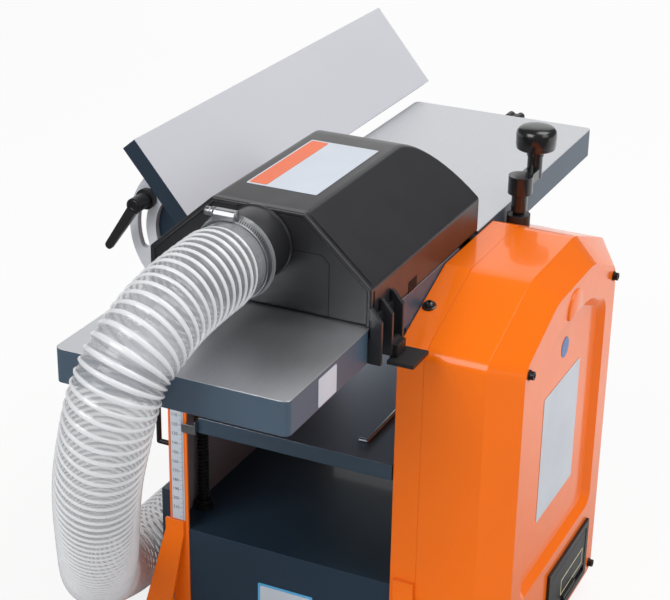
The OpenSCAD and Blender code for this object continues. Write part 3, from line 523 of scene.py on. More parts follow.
class FinishBook:
    """Builds each finish once and hands it out."""

    def __init__(self) -> None:
        """Starts with no materials."""
        self._made: dict[Finish, bpy.types.Material] = {}

    def get(self, finish: Finish) -> bpy.types.Material:
        """The material of a finish, made at its first use."""
        if finish not in self._made:
            self._made[finish] = finish.value.build()
        return self._made[finish]


@dataclass
class Bench:
    """Turns a bmesh into a finished piece that rides on a body."""

    book: FinishBook

    def piece(
        self,
        mesh: bmesh.types.BMesh,
        name: str,
        finish: Finish,
        body: str,
        slot: str,
        bevel: float = 0.0,
        segments: int = 3,
        smooth: float = 32.0,
    ) -> bpy.types.Object:
        """Makes an object of a bmesh, with its finish, its soft edges and its body.

        Args:
            mesh: The modelled shape, which is freed.
            name: The piece's name.
            finish: Its finish.
            body: The body that it rides on.
            slot: Not used.
            bevel: Width of a live bevel on its sharp edges, or 0.
            segments: Segments of that bevel.
            smooth: Angle in degrees under which its faces shade smoothly.

        Returns:
            The object.
        """
        data = bpy.data.meshes.new(name)
        mesh.to_mesh(data)
        mesh.free()
        data.shade_smooth()
        data.set_sharp_from_angle(angle=math.radians(smooth))
        data.materials.append(self.book.get(finish))
        made = bpy.data.objects.new(name, data)
        bpy.context.scene.collection.objects.link(made)
        if bevel > 0.0:
            rounding = made.modifiers.new("rounding", "BEVEL")
            rounding.width = bevel
            rounding.segments = segments
            rounding.limit_method = "ANGLE"
            rounding.angle_limit = math.radians(smooth)
            rounding.harden_normals = True
        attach(made, body)
        LOG.info("made %s on %s", name, body)
        return made

    @staticmethod
    def outward(mesh: bmesh.types.BMesh) -> bmesh.types.BMesh:
        """Merges doubles and turns every face outwards."""
        bmesh.ops.remove_doubles(mesh, verts=mesh.verts, dist=1e-6)
        bmesh.ops.recalc_face_normals(mesh, faces=mesh.faces)
        return mesh

    @staticmethod
    def prism(mesh: bmesh.types.BMesh, outline: Sequence[Point], push: Point) -> list[bmesh.types.BMVert]:
        """Adds a closed prism: an outline and what it sweeps when it is pushed.

        Args:
            mesh: Where to add it.
            outline: The outline's corners.
            push: How far the outline is pushed.

        Returns:
            The prism's vertices.
        """
        base = [mesh.verts.new(corner) for corner in outline]
        face = mesh.faces.new(base)
        grown = bmesh.ops.extrude_face_region(mesh, geom=[face])["geom"]
        moved = [g for g in grown if isinstance(g, bmesh.types.BMVert)]
        bmesh.ops.translate(mesh, verts=moved, vec=Vector(push))
        return base + moved

    @staticmethod
    def block(mesh: bmesh.types.BMesh, low: Point, high: Point) -> list[bmesh.types.BMVert]:
        """Adds a box between two corners and returns its vertices."""
        size = Vector(high) - Vector(low)
        middle = (Vector(high) + Vector(low)) / 2
        place = Matrix.Translation(middle) @ Matrix.Diagonal((*size, 1.0))
        return bmesh.ops.create_cube(mesh, size=1.0, matrix=place)["verts"]

    @staticmethod
    def turned(
        mesh: bmesh.types.BMesh, profile: Sequence[tuple[float, float]], place: Matrix, steps: int = 48, closed: bool = True
    ) -> None:
        """Turns a profile of (radius, height) about Z and puts it in place.

        Args:
            mesh: Where to add it.
            profile: The profile's points from bottom to top.
            place: Where the turned shape's own axis goes.
            steps: Steps of the full turn.
            closed: True if the last point joins the first.
        """
        verts = [mesh.verts.new((radius, 0.0, height)) for radius, height in profile]
        pairs = list(zip(verts, verts[1:])) + ([(verts[-1], verts[0])] if closed else [])
        edges = [mesh.edges.new(pair) for pair in pairs]
        before = set(mesh.verts) - set(verts)
        bmesh.ops.spin(
            mesh, geom=verts + edges, cent=(0, 0, 0), axis=(0, 0, 1), dvec=(0, 0, 0),
            angle=math.tau, steps=steps, use_merge=True, use_duplicate=False,
        )
        fresh = [v for v in mesh.verts if v not in before]
        bmesh.ops.remove_doubles(mesh, verts=fresh, dist=1e-6)
        fresh = [v for v in mesh.verts if v not in before]
        bmesh.ops.transform(mesh, matrix=place, verts=fresh)


def facing(axis: str, at: Point) -> Matrix:
    """A place whose own Z axis points along a main axis.

    Args:
        axis: X, Y or Z, with a minus in front to point the other way.
        at: The place's origin.

    Returns:
        The matrix.
    """
    turns = {
        "Z": Matrix.Identity(4),
        "-Z": Matrix.Rotation(math.pi, 4, "X"),
        "X": Matrix.Rotation(math.radians(90), 4, "Y"),
        "-X": Matrix.Rotation(math.radians(-90), 4, "Y"),
        "Y": Matrix.Rotation(math.radians(-90), 4, "X"),
        "-Y": Matrix.Rotation(math.radians(90), 4, "X"),
    }
    return Matrix.Translation(Vector(at)) @ turns[axis]


@dataclass
class Studio:
    """Camera, plain pale floor and soft light."""

    azimuth: float = 25.14
    elevation: float = 24.03
    roll: float = 0.969
    lens: float = 92.48
    camera_at: Point = (0.62406, -1.39628, 1.02303)
    ambient: float = 0.36
    mirrored: float = 0.12

    def build(self) -> None:
        """Puts up the camera, the floor, the lamps and the world."""
        self._camera()
        self._floor()
        self._world()
        self._lamp("key_softbox", (1.2, 0.3, 3.0), 1.9, 46.0)
        self._lamp("fill_softbox", (-0.9, -2.5, 2.1), 1.8, 50.0)
        self._lamp("side_softbox", (2.6, -0.7, 1.9), 1.6, 15.0)
        self._lamp("back_panel", (-1.0, 2.7, 1.5), 3.0, 22.0)
        bpy.context.scene.view_settings.view_transform = "Standard"

    def _camera(self) -> None:
        """The photograph's camera."""
        turn, lift, lean = (math.radians(v) for v in (self.azimuth, self.elevation, self.roll))
        back = Vector((math.sin(turn) * math.cos(lift), -math.cos(turn) * math.cos(lift), math.sin(lift)))
        right = Vector((math.cos(turn), math.sin(turn), 0.0))
        up = back.cross(right)
        leant_right = math.cos(lean) * right + math.sin(lean) * up
        leant_up = -math.sin(lean) * right + math.cos(lean) * up
        data = bpy.data.cameras.new("photo_camera")
        data.lens = self.lens
        data.sensor_width = 36.0
        data.sensor_fit = "HORIZONTAL"
        camera = bpy.data.objects.new("photo_camera", data)
        rotation = Matrix((leant_right, leant_up, back)).transposed().to_4x4()
        camera.matrix_world = Matrix.Translation(Vector(self.camera_at)) @ rotation
        bpy.context.scene.collection.objects.link(camera)
        bpy.context.scene.camera = camera

    def _floor(self) -> None:
        """A wide pale floor that keeps the machine's shadow."""
        mesh = bmesh.new()
        bmesh.ops.create_grid(mesh, x_segments=1, y_segments=1, size=9.0)
        data = bpy.data.meshes.new("floor")
        mesh.to_mesh(data)
        mesh.free()
        floor = bpy.data.objects.new("floor", data)
        floor.location.z = -0.0005
        bpy.context.scene.collection.objects.link(floor)
        material = bpy.data.materials.new("pale_floor")
        material.use_nodes = True
        nodes, links = material.node_tree.nodes, material.node_tree.links
        nodes.clear()
        output = nodes.new("ShaderNodeOutputMaterial")
        matt = nodes.new("ShaderNodeBsdfDiffuse")
        matt.inputs["Color"].default_value = (0.92, 0.92, 0.92, 1.0)
        glow = nodes.new("ShaderNodeEmission")
        share = nodes.new("ShaderNodeMixShader")
        paths = nodes.new("ShaderNodeLightPath")
        place = nodes.new("ShaderNodeTexCoord")
        split = nodes.new("ShaderNodeSeparateXYZ")
        behind = nodes.new("ShaderNodeMapRange")
        for name, value in (("From Min", -0.15), ("From Max", 0.50), ("To Min", 0.10), ("To Max", 0.95)):
            behind.inputs[name].default_value = value
        strength = nodes.new("ShaderNodeMix")
        strength.inputs[2].default_value = 1.0
        half = nodes.new("ShaderNodeMath")
        half.operation = "MULTIPLY"
        half.inputs[1].default_value = 0.82
        seen = nodes.new("ShaderNodeMath")
        seen.operation = "MAXIMUM"
        links.new(place.outputs["Object"], split.inputs["Vector"])
        links.new(split.outputs["Y"], behind.inputs["Value"])
        links.new(paths.outputs["Is Glossy Ray"], strength.inputs[0])
        links.new(behind.outputs["Result"], strength.inputs[3])
        links.new(strength.outputs[0], glow.inputs["Strength"])
        links.new(paths.outputs["Is Camera Ray"], half.inputs[0])
        links.new(half.outputs["Value"], seen.inputs[0])
        links.new(paths.outputs["Is Glossy Ray"], seen.inputs[1])
        links.new(seen.outputs["Value"], share.inputs["Fac"])
        links.new(matt.outputs["BSDF"], share.inputs[1])
        links.new(glow.outputs["Emission"], share.inputs[2])
        links.new(share.outputs["Shader"], output.inputs["Surface"])
        data.materials.append(material)

    def _world(self) -> None:
        """Even light all round, dimmer in mirrored views and white where it is seen."""
        world = bpy.data.worlds.new("studio")
        bpy.context.scene.world = world
        world.use_nodes = True
        nodes, links = world.node_tree.nodes, world.node_tree.links
        nodes.clear()
        output = nodes.new("ShaderNodeOutputWorld")
        even = nodes.new("ShaderNodeBackground")
        dim = nodes.new("ShaderNodeMath")
        dim.operation = "MULTIPLY_ADD"
        dim.inputs[1].default_value = self.mirrored - self.ambient
        dim.inputs[2].default_value = self.ambient
        white = nodes.new("ShaderNodeBackground")
        white.inputs["Color"].default_value = (1.0, 1.0, 1.0, 1.0)
        white.inputs["Strength"].default_value = 1.0
        even.inputs["Color"].default_value = (1.0, 1.0, 1.0, 1.0)
        paths = nodes.new("ShaderNodeLightPath")
        share = nodes.new("ShaderNodeMixShader")
        links.new(paths.outputs["Is Glossy Ray"], dim.inputs[0])
        links.new(dim.outputs["Value"], even.inputs["Strength"])
        links.new(paths.outputs["Is Camera Ray"], share.inputs["Fac"])
        links.new(even.outputs["Background"], share.inputs[1])
        links.new(white.outputs["Background"], share.inputs[2])
        links.new(share.outputs["Shader"], output.inputs["Surface"])

    @staticmethod
    def _lamp(name: str, at: Point, size: float, power: float) -> None:
        """A square softbox that points at the machine.

        Args:
            name: The lamp's name.
            at: Where it hangs.
            size: Its side.
            power: Its power in watts.
        """
        data = bpy.data.lights.new(name, "AREA")
        data.shape = "SQUARE"
        data.size = size
        data.energy = power
        lamp = bpy.data.objects.new(name, data)
        lamp.visible_camera = False
        aim = Vector((0.0, 0.0, 0.3)) - Vector(at)
        lamp.matrix_world = Matrix.Translation(Vector(at)) @ aim.to_track_quat("-Z", "Y").to_matrix().to_4x4()
        bpy.context.scene.collection.objects.link(lamp)


@dataclass
class DustHose:
    """Ribbed hose from the hood's outlet to its cuff, lying along the left side on the floor."""

    bench: Bench
    route_mm: tuple[Point, ...] = (
        (0, -259, 483), (0, -290, 483), (-1, -325, 481), (-3, -358, 476), (-5, -388, 466), (-10, -411, 449),
        (-17, -423, 420), (-27, -421, 385), (-43, -407, 345), (-60, -386, 305), (-83, -353, 255),
        (-109, -315, 205), (-140, -270, 155), (-172, -220, 110), (-198, -168, 74), (-213, -115, 48),
        (-218, -65, 38), (-218, -10, 36.2), (-218, 50, 36.2), (-218, 110, 36.2),
    )
    radius: float = 0.036
    groove: float = 0.0022
    pitches: tuple[tuple[float, float], ...] = (
        (0.0, 0.0091), (0.130, 0.0088), (0.155, 0.0076), (0.190, 0.0078), (0.225, 0.0095), (0.270, 0.0110),
        (0.380, 0.0108), (0.450, 0.0098), (2.0, 0.0098))
    neck: float = 0.0336
    lip: float = 0.0372
    sides: int = 44
    step: float = 0.0010

    def line(self) -> list[Vector]:
        """A smooth curve through the route."""
        points = [Vector(p) * MM for p in self.route_mm]
        last = len(points) - 1
        curve = []
        for i in range(last):
            a, b, c, d = points[max(i - 1, 0)], points[i], points[i + 1], points[min(i + 2, last)]
            for k in range(8):
                t = k / 8
                curve.append(0.5 * (2 * b + (c - a) * t + (2 * a - 5 * b + 4 * c - d) * t * t
                                    + (3 * b - a - 3 * c + d) * t ** 3))
        return curve + [points[last]]

    def evenly(self, curve: Sequence[Vector]) -> list[Vector]:
        """The curve's points at even steps along it."""
        runs = [0.0]
        for a, b in zip(curve, curve[1:]):
            runs.append(runs[-1] + (b - a).length)
        count = round(runs[-1] / self.step)
        even, k = [], 0
        for i in range(count + 1):
            s = runs[-1] * i / count
            while k < len(runs) - 2 and runs[k + 1] < s:
                k += 1
            even.append(curve[k].lerp(curve[k + 1], (s - runs[k]) / (runs[k + 1] - runs[k])))
        return even

    def pitch(self, along: float) -> float:
        """Distance from rib to rib, which the bend squeezes and the hanging length stretches.

        Args:
            along: Distance along the hose.

        Returns:
            The pitch.
        """
        for (low, first), (high, second) in zip(self.pitches, self.pitches[1:]):
            if along < high:
                return first + (second - first) * (along - low) / (high - low)
        return self.pitches[-1][1]

    def crest(self, wound: float, turn: float) -> float:
        """How far up a rib a point is, from 0 in the film to 1 on the crest.

        Args:
            wound: Ribs passed so far.
            turn: Share of a full turn round the hose.

        Returns:
            The share.
        """
        phase = (wound + turn) % 1.0
        wave = 0.5 + 0.5 * math.cos(math.tau * phase)
        return wave ** 3.0

    def bulge(self, along: float) -> float:
        """Radius of the ribs' crests: a flared lip, the neck under the clamp, then the full hose.

        Args:
            along: Distance along the hose.

        Returns:
            The radius.
        """
        if along < 0.0016:
            return self.lip + (self.neck - self.lip) * along / 0.0016
        if along < 0.0110:
            return self.neck
        ease = min(1.0, (along - 0.0110) / 0.024)
        return self.neck + (self.radius - self.neck) * (3 - 2 * ease) * ease * ease

    def build(self) -> bpy.types.Object:
        """Returns:
            The hose.
        """
        spots = self.evenly(self.line())
        mesh = bmesh.new()
        rib = mesh.verts.layers.float.new("rib")
        ring = bmesh.ops.create_circle(mesh, segments=self.sides, radius=1.0)["verts"]
        side = Vector((1.0, 0.0, 0.0))
        wound = 0.0
        for i, spot in enumerate(spots):
            way = (spots[min(i + 1, len(spots) - 1)] - spots[max(i - 1, 0)]).normalized()
            side = (side - way * side.dot(way)).normalized()
            if i > 0:
                edges = [e for e in {e for v in ring for e in v.link_edges} if all(v in set(ring) for v in e.verts)]
                ordered = {v: k for k, v in enumerate(ring)}
                grown = bmesh.ops.extrude_edge_only(mesh, edges=edges)["geom"]
                fresh: list = [None] * self.sides
                for edge in (g for g in grown if isinstance(g, bmesh.types.BMEdge)):
                    ends = [v for v in edge.verts if v in ordered]
                    other = [v for v in edge.verts if v not in ordered]
                    if len(ends) == 1 and len(other) == 1:
                        fresh[ordered[ends[0]]] = other[0]
                if None in fresh:
                    for v in (g for g in grown if isinstance(g, bmesh.types.BMVert)):
                        for edge in v.link_edges:
                            mate = edge.other_vert(v)
                            if mate in ordered:
                                fresh[ordered[mate]] = v
                ring = fresh
            along = i * self.step
            wound += self.step / self.pitch(along)
            rise = min(1.0, max(0.0, (along - 0.014) / 0.016))
            across = way.cross(side)
            for k, vert in enumerate(ring):
                turn = k / self.sides
                high = self.crest(wound, turn) * rise
                reach = self.bulge(along) - self.groove * rise * (1.0 - high)
                angle = math.tau * turn
                vert.co = spot + reach * (math.cos(angle) * side + math.sin(angle) * across)
                vert[rib] = high
        bmesh.ops.recalc_face_normals(mesh, faces=mesh.faces)
        hose = self.bench.piece(mesh, "ribbed_hose", Finish.HOSE, "frame", "clear_hose", smooth=180.0)
        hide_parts("dust_hose")
        return hose


@dataclass
class HoseClamp:
    """Worm-drive clamp: a slotted steel band with its screw housing."""

    bench: Bench
    centre: Point = (0.0, -0.265, 0.483)
    inner: float = 0.03405
    outer: float = 0.03515
    half_width: float = 0.004
    slots: int = 104
    housing_x: float = -0.005

    def build(self) -> None:
        """The band, its slots as painted shade, the housing and the screw."""
        band = bmesh.new()
        w, a, b = self.half_width, self.inner, self.outer
        profile = [(a, -w), (b - 0.0003, -w), (b, -w + 0.0004), (b, w - 0.0004), (b - 0.0003, w), (a, w)]
        Bench.turned(band, profile, facing("Y", self.centre), 64)
        Bench.outward(band)
        piece = self.bench.piece(band, "clamp_band", Finish.STEEL, "frame", "bright_steel")
        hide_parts("hose_clamp")
        # The slots are near-black boxes on the band: painted shade in the slots' openings.
        marks = bmesh.new()
        for k in range(self.slots):
            angle = math.tau * k / self.slots
            if abs(angle - 1.70) < 0.30:
                continue
            spot = Matrix.Translation(Vector(self.centre)) @ Matrix.Rotation(-angle, 4, "Y")
            tilt = Matrix.Translation(Vector((self.outer, 0, 0))) @ Matrix.Rotation(0.22, 4, "X")
            size = Matrix.Diagonal((0.00016, 0.0048, 0.0007, 1.0))
            bmesh.ops.create_cube(marks, size=1.0, matrix=spot @ tilt @ size)
        self.bench.piece(marks, "clamp_slots", Finish.INK_AND_SHADE, "frame", "bright_steel", smooth=10.0)
        self._screw()

    def _screw(self) -> None:
        """The housing on the band and its slotted screw."""
        x, y, z = self.centre
        place = Matrix.Translation(Vector((self.housing_x, y, z + self.outer - 0.0008)))
        housing = bmesh.new()
        outline = [(-0.010, -0.0055, 0.0), (-0.010, 0.0055, 0.0), (-0.010, 0.0052, 0.0046),
                   (-0.010, 0.0028, 0.0078), (-0.010, -0.0028, 0.0078), (-0.010, -0.0052, 0.0046)]
        Bench.prism(housing, outline, (0.020, 0, 0))
        Bench.outward(housing)
        bmesh.ops.transform(housing, matrix=place, verts=housing.verts)
        self.bench.piece(housing, "clamp_housing", Finish.STEEL, "frame", "bright_steel", bevel=0.0009)
        screw = bmesh.new()
        profile = [(0.0, -0.0190), (0.0022, -0.0190), (0.0034, -0.0186), (0.0037, -0.0178), (0.0037, -0.0140),
                   (0.0032, -0.0135), (0.0032, -0.0124), (0.0044, -0.0121), (0.0044, -0.0106), (0.0030, -0.0102),
                   (0.0030, 0.0105), (0.0, 0.0108)]
        Bench.turned(screw, profile, place @ facing("X", (0, 0, 0.0040)), 24, closed=False)
        Bench.outward(screw)
        self.bench.piece(screw, "clamp_screw", Finish.STEEL, "frame", "bright_steel")
        tail = bmesh.new()
        spots = [(self.outer + 0.0012 + 0.0004 * k, 1.62 + 0.10 * k) for k in range(5)]
        for k, (reach, angle) in enumerate(spots):
            turn = Matrix.Translation(Vector(self.centre)) @ Matrix.Rotation(-angle, 4, "Y")
            size = Matrix.Diagonal((0.0006, 0.0076, 0.0040, 1.0))
            bmesh.ops.create_cube(tail, size=1.0, matrix=turn @ Matrix.Translation(Vector((reach, 0, 0))) @ size)
        self.bench.piece(tail, "clamp_tail", Finish.STEEL, "frame", "bright_steel", smooth=40.0)


@dataclass
class BeltCover:
    """Orange cover with a bevelled front, a pressed panel and the switch's opening."""

    bench: Bench
    back: float = 0.131
    shoulder: float = 0.188
    front: float = 0.212
    outline: tuple[tuple[float, float], ...] = (
        (-0.164, 0.014), (0.164, 0.014), (0.164, 0.384), (0.060, 0.423), (-0.060, 0.423), (-0.164, 0.384))
    front_outline: tuple[tuple[float, float], ...] = (
        (-0.131, 0.024), (0.131, 0.024), (0.131, 0.3697), (0.052, 0.402), (-0.052, 0.402), (-0.131, 0.3697))
    panel_outline: tuple[tuple[float, float], ...] = (
        (-0.1045, 0.117), (0.1045, 0.117), (0.1045, 0.346), (0.0465, 0.3695), (-0.0465, 0.3695), (-0.1045, 0.346))
    panel_depth: float = 0.0072
    panel_slope: float = 0.0076
    opening_low: tuple[float, float] = (-0.0193, 0.0367)
    opening_high: tuple[float, float] = (0.0983, 0.0973)
    opening_depth: float = 0.012
    boss_z: float = 0.3755
    boss_r: float = 0.0208
    boss_rise: float = 0.0022

    def build(self) -> bpy.types.Object:
        """Lofts the outlines one after another, then opens the front for the switch.

        Returns:
            The cover.
        """
        side, low = self.panel_outline[1]
        high = max(z for _, z in self.panel_outline)
        shrink = 1 - 2 * self.panel_slope / (high - low)
        sunk = tuple((y * (1 - self.panel_slope / side), low + self.panel_slope + (z - low) * shrink)
                     for y, z in self.panel_outline)
        loops = [
            self._rounded(self.outline, 0.010, self.back),
            self._rounded(self.outline, 0.010, self.shoulder),
            self._rounded(self.front_outline, 0.012, self.front),
            self._rounded(self.panel_outline, 0.014, self.front),
            self._rounded(sunk, 0.012, self.front - self.panel_depth),
        ]
        mesh = bmesh.new()
        back_face = face = mesh.faces.new([mesh.verts.new(spot) for spot in loops[0]])
        for loop in loops[1:]:
            before = face
            places = {tuple(vert.co): spot for vert, spot in zip(face.verts, loop)}
            grown = bmesh.ops.extrude_face_region(mesh, geom=[face])["geom"]
            face = next(g for g in grown if isinstance(g, bmesh.types.BMFace))
            face_spots = [places[tuple(vert.co)] for vert in face.verts]
            for vert, spot in zip(face.verts, face_spots):
                vert.co = spot
            if before is not back_face:
                bmesh.ops.delete(mesh, geom=[before], context="FACES_ONLY")
        bmesh.ops.recalc_face_normals(mesh, faces=mesh.faces)
        self._open_switch(mesh)
        cover = self.bench.piece(mesh, "pressed_belt_cover", Finish.ORANGE, "frame", "orange_paint", bevel=0.0035,
                                 segments=4, smooth=30.0)
        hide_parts("belt_cover")
        self._boss()
        return cover

    def _boss(self) -> None:
        """Shallow pressed boss above the panel, flat along the panel's upper edge."""
        mesh = bmesh.new()
        profile = [(0.0, -0.001), (self.boss_r, -0.001), (self.boss_r - 0.0008, self.boss_rise * 0.55),
                   (self.boss_r - 0.0030, self.boss_rise), (0.0, self.boss_rise)]
        Bench.turned(mesh, profile, facing("X", (self.front, 0.0, self.boss_z)), 56, closed=False)
        geom = list(mesh.verts) + list(mesh.edges) + list(mesh.faces)
        cut = bmesh.ops.bisect_plane(mesh, geom=geom, dist=1e-6, plane_co=(0.0, 0.0, self.boss_z - 0.003),
                                     plane_no=(0.0, 0.0, -1.0), clear_outer=True)["geom_cut"]
        bmesh.ops.holes_fill(mesh, edges=[g for g in cut if isinstance(g, bmesh.types.BMEdge)], sides=0)
        Bench.outward(mesh)
        self.bench.piece(mesh, "cover_boss", Finish.ORANGE, "frame", "orange_paint", smooth=40.0)

    @staticmethod
    def _rounded(corners: Sequence[tuple[float, float]], radius: float, x: float) -> list[Vector]:
        """An outline with rounded corners.

        Args:
            corners: The corners as (y, z).
            radius: How far the rounding reaches from each corner.
            x: Where the outline stands.

        Returns:
            The outline's points in order.
        """
        mesh = bmesh.new()
        verts = [mesh.verts.new((x, y, z)) for y, z in corners]
        mesh.faces.new(verts)
        bmesh.ops.bevel(mesh, geom=verts, offset=radius, offset_type="OFFSET", affect="VERTICES", segments=4,
                        profile=0.5, material=-1)
        points = [vert.co.copy() for vert in next(iter(mesh.faces)).verts]
        mesh.free()
        return points

    def _open_switch(self, mesh: bmesh.types.BMesh) -> None:
        """Cuts the switch's opening out of the front face.

        Args:
            mesh: The cover so far.
        """
        (y0, z0), (y1, z1) = self.opening_low, self.opening_high
        cuts = [((0, y0, 0), (0, 1, 0)), ((0, y1, 0), (0, 1, 0)), ((0, 0, z0), (0, 0, 1)), ((0, 0, z1), (0, 0, 1))]
        for spot, normal in cuts:
            flat = [f for f in mesh.faces if all(abs(v.co.x - self.front) < 1e-5 for v in f.verts)]
            edges = list({e for f in flat for e in f.edges})
            verts = list({v for f in flat for v in f.verts})
            bmesh.ops.bisect_plane(mesh, geom=verts + edges + flat, dist=1e-6, plane_co=spot, plane_no=normal)
        inside = []
        for f in mesh.faces:
            middle = f.calc_center_median()
            if abs(middle.x - self.front) < 1e-5 and y0 < middle.y < y1 and z0 < middle.z < z1:
                inside.append(f)
        grown = bmesh.ops.extrude_face_region(mesh, geom=inside)["geom"]
        sunk = [g for g in grown if isinstance(g, bmesh.types.BMVert)]
        bmesh.ops.translate(mesh, verts=sunk, vec=Vector((-self.opening_depth, 0, 0)))
        bmesh.ops.delete(mesh, geom=[f for f in inside if f.is_valid], context="FACES")
        bmesh.ops.recalc_face_normals(mesh, faces=mesh.faces)


@dataclass
class ChipHood:
    """Charcoal hood over the cutterblock, with its outlet and the ribbed hook."""

    bench: Bench
    near: float = -0.219
    far: float = 0.0238
    half: float = 0.105
    low: float = 0.425
    skirt: float = 0.459
    top: float = 0.515
    flat: float = 0.043
    far_round: float = 0.054
    near_round: float = 0.006
    door_half: float = 0.066
    door_top: float = 0.481
    port_z: float = 0.483
    port_r: float = 0.0315

    def build(self) -> None:
        """The body, the lip round its near end, the outlet and the hook."""
        body = self._body()
        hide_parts("hood")
        self._door()
        self._notch()
        self._lip()
        self._outlet()
        self._hook()

    def _body(self) -> bpy.types.Object:
        """The body: its side view made solid, then cut off along both slopes.

        Returns:
            The body.
        """
        mesh = bmesh.new()
        side_view = [(self.near, self.low), (self.far, self.low), (self.far, self.top), (self.near, self.top)]
        corners = [mesh.verts.new((-self.half, y, z)) for y, z in side_view]
        mesh.faces.new(corners)
        bmesh.ops.bevel(mesh, geom=[corners[2]], offset=self.far_round, offset_type="OFFSET", affect="VERTICES",
                        segments=12, profile=0.5, material=-1)
        near_top = min(mesh.verts, key=lambda v: (v.co - Vector((-self.half, self.near, self.top))).length)
        bmesh.ops.bevel(mesh, geom=[near_top], offset=self.near_round, offset_type="OFFSET", affect="VERTICES",
                        segments=4, profile=0.5, material=-1)
        face = next(iter(mesh.faces))
        grown = bmesh.ops.extrude_face_region(mesh, geom=[face])["geom"]
        moved = [g for g in grown if isinstance(g, bmesh.types.BMVert)]
        bmesh.ops.translate(mesh, verts=moved, vec=Vector((2 * self.half, 0, 0)))
        slope = Vector((self.top - self.skirt, 0.0, self.half - self.flat)).normalized()
        for sign in (-1, 1):
            normal = Vector((sign * slope.x, 0.0, slope.z))
            geom = list(mesh.verts) + list(mesh.edges) + list(mesh.faces)
            cut = bmesh.ops.bisect_plane(mesh, geom=geom, dist=1e-6, plane_co=(sign * self.flat, 0.0, self.top),
                                         plane_no=normal, clear_outer=True)["geom_cut"]
            bmesh.ops.holes_fill(mesh, edges=[g for g in cut if isinstance(g, bmesh.types.BMEdge)], sides=0)
        Bench.outward(mesh)
        return self.bench.piece(mesh, "hood_body", Finish.HOOD, "frame", "hood_plastic", bevel=0.0055, segments=4,
                                smooth=30.0)

    def _door(self) -> None:
        """Dark joint line round the door in the near face."""
        mesh = bmesh.new()
        w, top, corner = self.door_half, self.door_top, 0.007
        outline = [(-w, self.low + 0.001), (w, self.low + 0.001), (w, top - corner), (w - corner, top), (-w + corner, top),
                   (-w, top - corner)]
        face = mesh.faces.new([mesh.verts.new((x, self.near + 0.0001, z)) for x, z in outline])
        face.normal_update()
        bmesh.ops.inset_individual(mesh, faces=[face], thickness=0.0006, depth=0.0)
        bmesh.ops.delete(mesh, geom=[face], context="FACES_ONLY")
        grown = bmesh.ops.extrude_face_region(mesh, geom=list(mesh.faces))["geom"]
        moved = [g for g in grown if isinstance(g, bmesh.types.BMVert)]
        bmesh.ops.translate(mesh, verts=moved, vec=Vector((0, -0.0003, 0)))
        bmesh.ops.recalc_face_normals(mesh, faces=mesh.faces)
        self.bench.piece(mesh, "hood_door_line", Finish.JOINT, "frame", "hood_plastic", smooth=20.0)

    def _notch(self) -> None:
        """Near-black box on the right skirt's foot: painted shade standing for the notch's hollow."""
        mesh = bmesh.new()
        # The near-black box paints the shade inside the notch.
        Bench.block(mesh, (self.half - 0.001, -0.142, self.low + 0.0005), (self.half + 0.00025, -0.124, self.low + 0.011))
        self.bench.piece(mesh, "hood_notch", Finish.JOINT, "frame", "hood_plastic", smooth=20.0)

    def _lip(self) -> None:
        """Raised lip that follows the near end's outline."""
        mesh = bmesh.new()
        wide = 0.0045
        over = [(-self.half, self.low), (-self.half, self.skirt), (-self.flat, self.top), (self.flat, self.top),
                (self.half, self.skirt), (self.half, self.low)]
        under = [(self.half - wide, self.low), (self.half - wide, self.skirt - 0.4 * wide),
                 (self.flat - 0.4 * wide, self.top - wide), (-self.flat + 0.4 * wide, self.top - wide),
                 (-self.half + wide, self.skirt - 0.4 * wide), (-self.half + wide, self.low)]
        Bench.prism(mesh, [(x, self.near + 0.007, z) for x, z in over + under], (0, -0.0088, 0))
        bmesh.ops.recalc_face_normals(mesh, faces=mesh.faces)
        self.bench.piece(mesh, "hood_lip", Finish.HOOD, "frame", "hood_plastic", bevel=0.0016, segments=3)

    def _outlet(self) -> None:
        """Spigot of the outlet, with a thin bead at its root."""
        mesh = bmesh.new()
        r = self.port_r
        profile = [(r - 0.003, -0.005), (r, -0.005), (r + 0.0012, 0.0), (r + 0.0012, 0.0024), (r, 0.0036),
                   (r, 0.0600), (r - 0.0006, 0.0610), (r - 0.003, 0.0610)]
        Bench.turned(mesh, profile, facing("-Y", (0.0, self.near, self.port_z)), 64)
        Bench.outward(mesh)
        self.bench.piece(mesh, "hood_outlet", Finish.HOOD, "frame", "hood_plastic")

    def _hook(self) -> None:
        """Ribbed hook on the right skirt that reaches down the table's edge."""
        inner = self.half + 0.0003
        mesh = bmesh.new()
        Bench.block(mesh, (inner, -0.226, 0.417), (inner + 0.003, -0.178, 0.4350))
        Bench.block(mesh, (self.half - 0.002, -0.2145, 0.4262), (inner + 0.001, -0.178, 0.4350))
        for near in (-0.226, -0.204, -0.182):
            outline = [(inner, near, 0.395), (inner + 0.012, near, 0.395), (inner + 0.012, near, 0.434),
                       (inner + 0.003, near, 0.445), (inner, near, 0.445)]
            Bench.prism(mesh, outline, (0, 0.004, 0))
        bmesh.ops.recalc_face_normals(mesh, faces=mesh.faces)
        self.bench.piece(mesh, "hood_hook", Finish.HOOD, "frame", "hood_plastic", bevel=0.0008, segments=2)


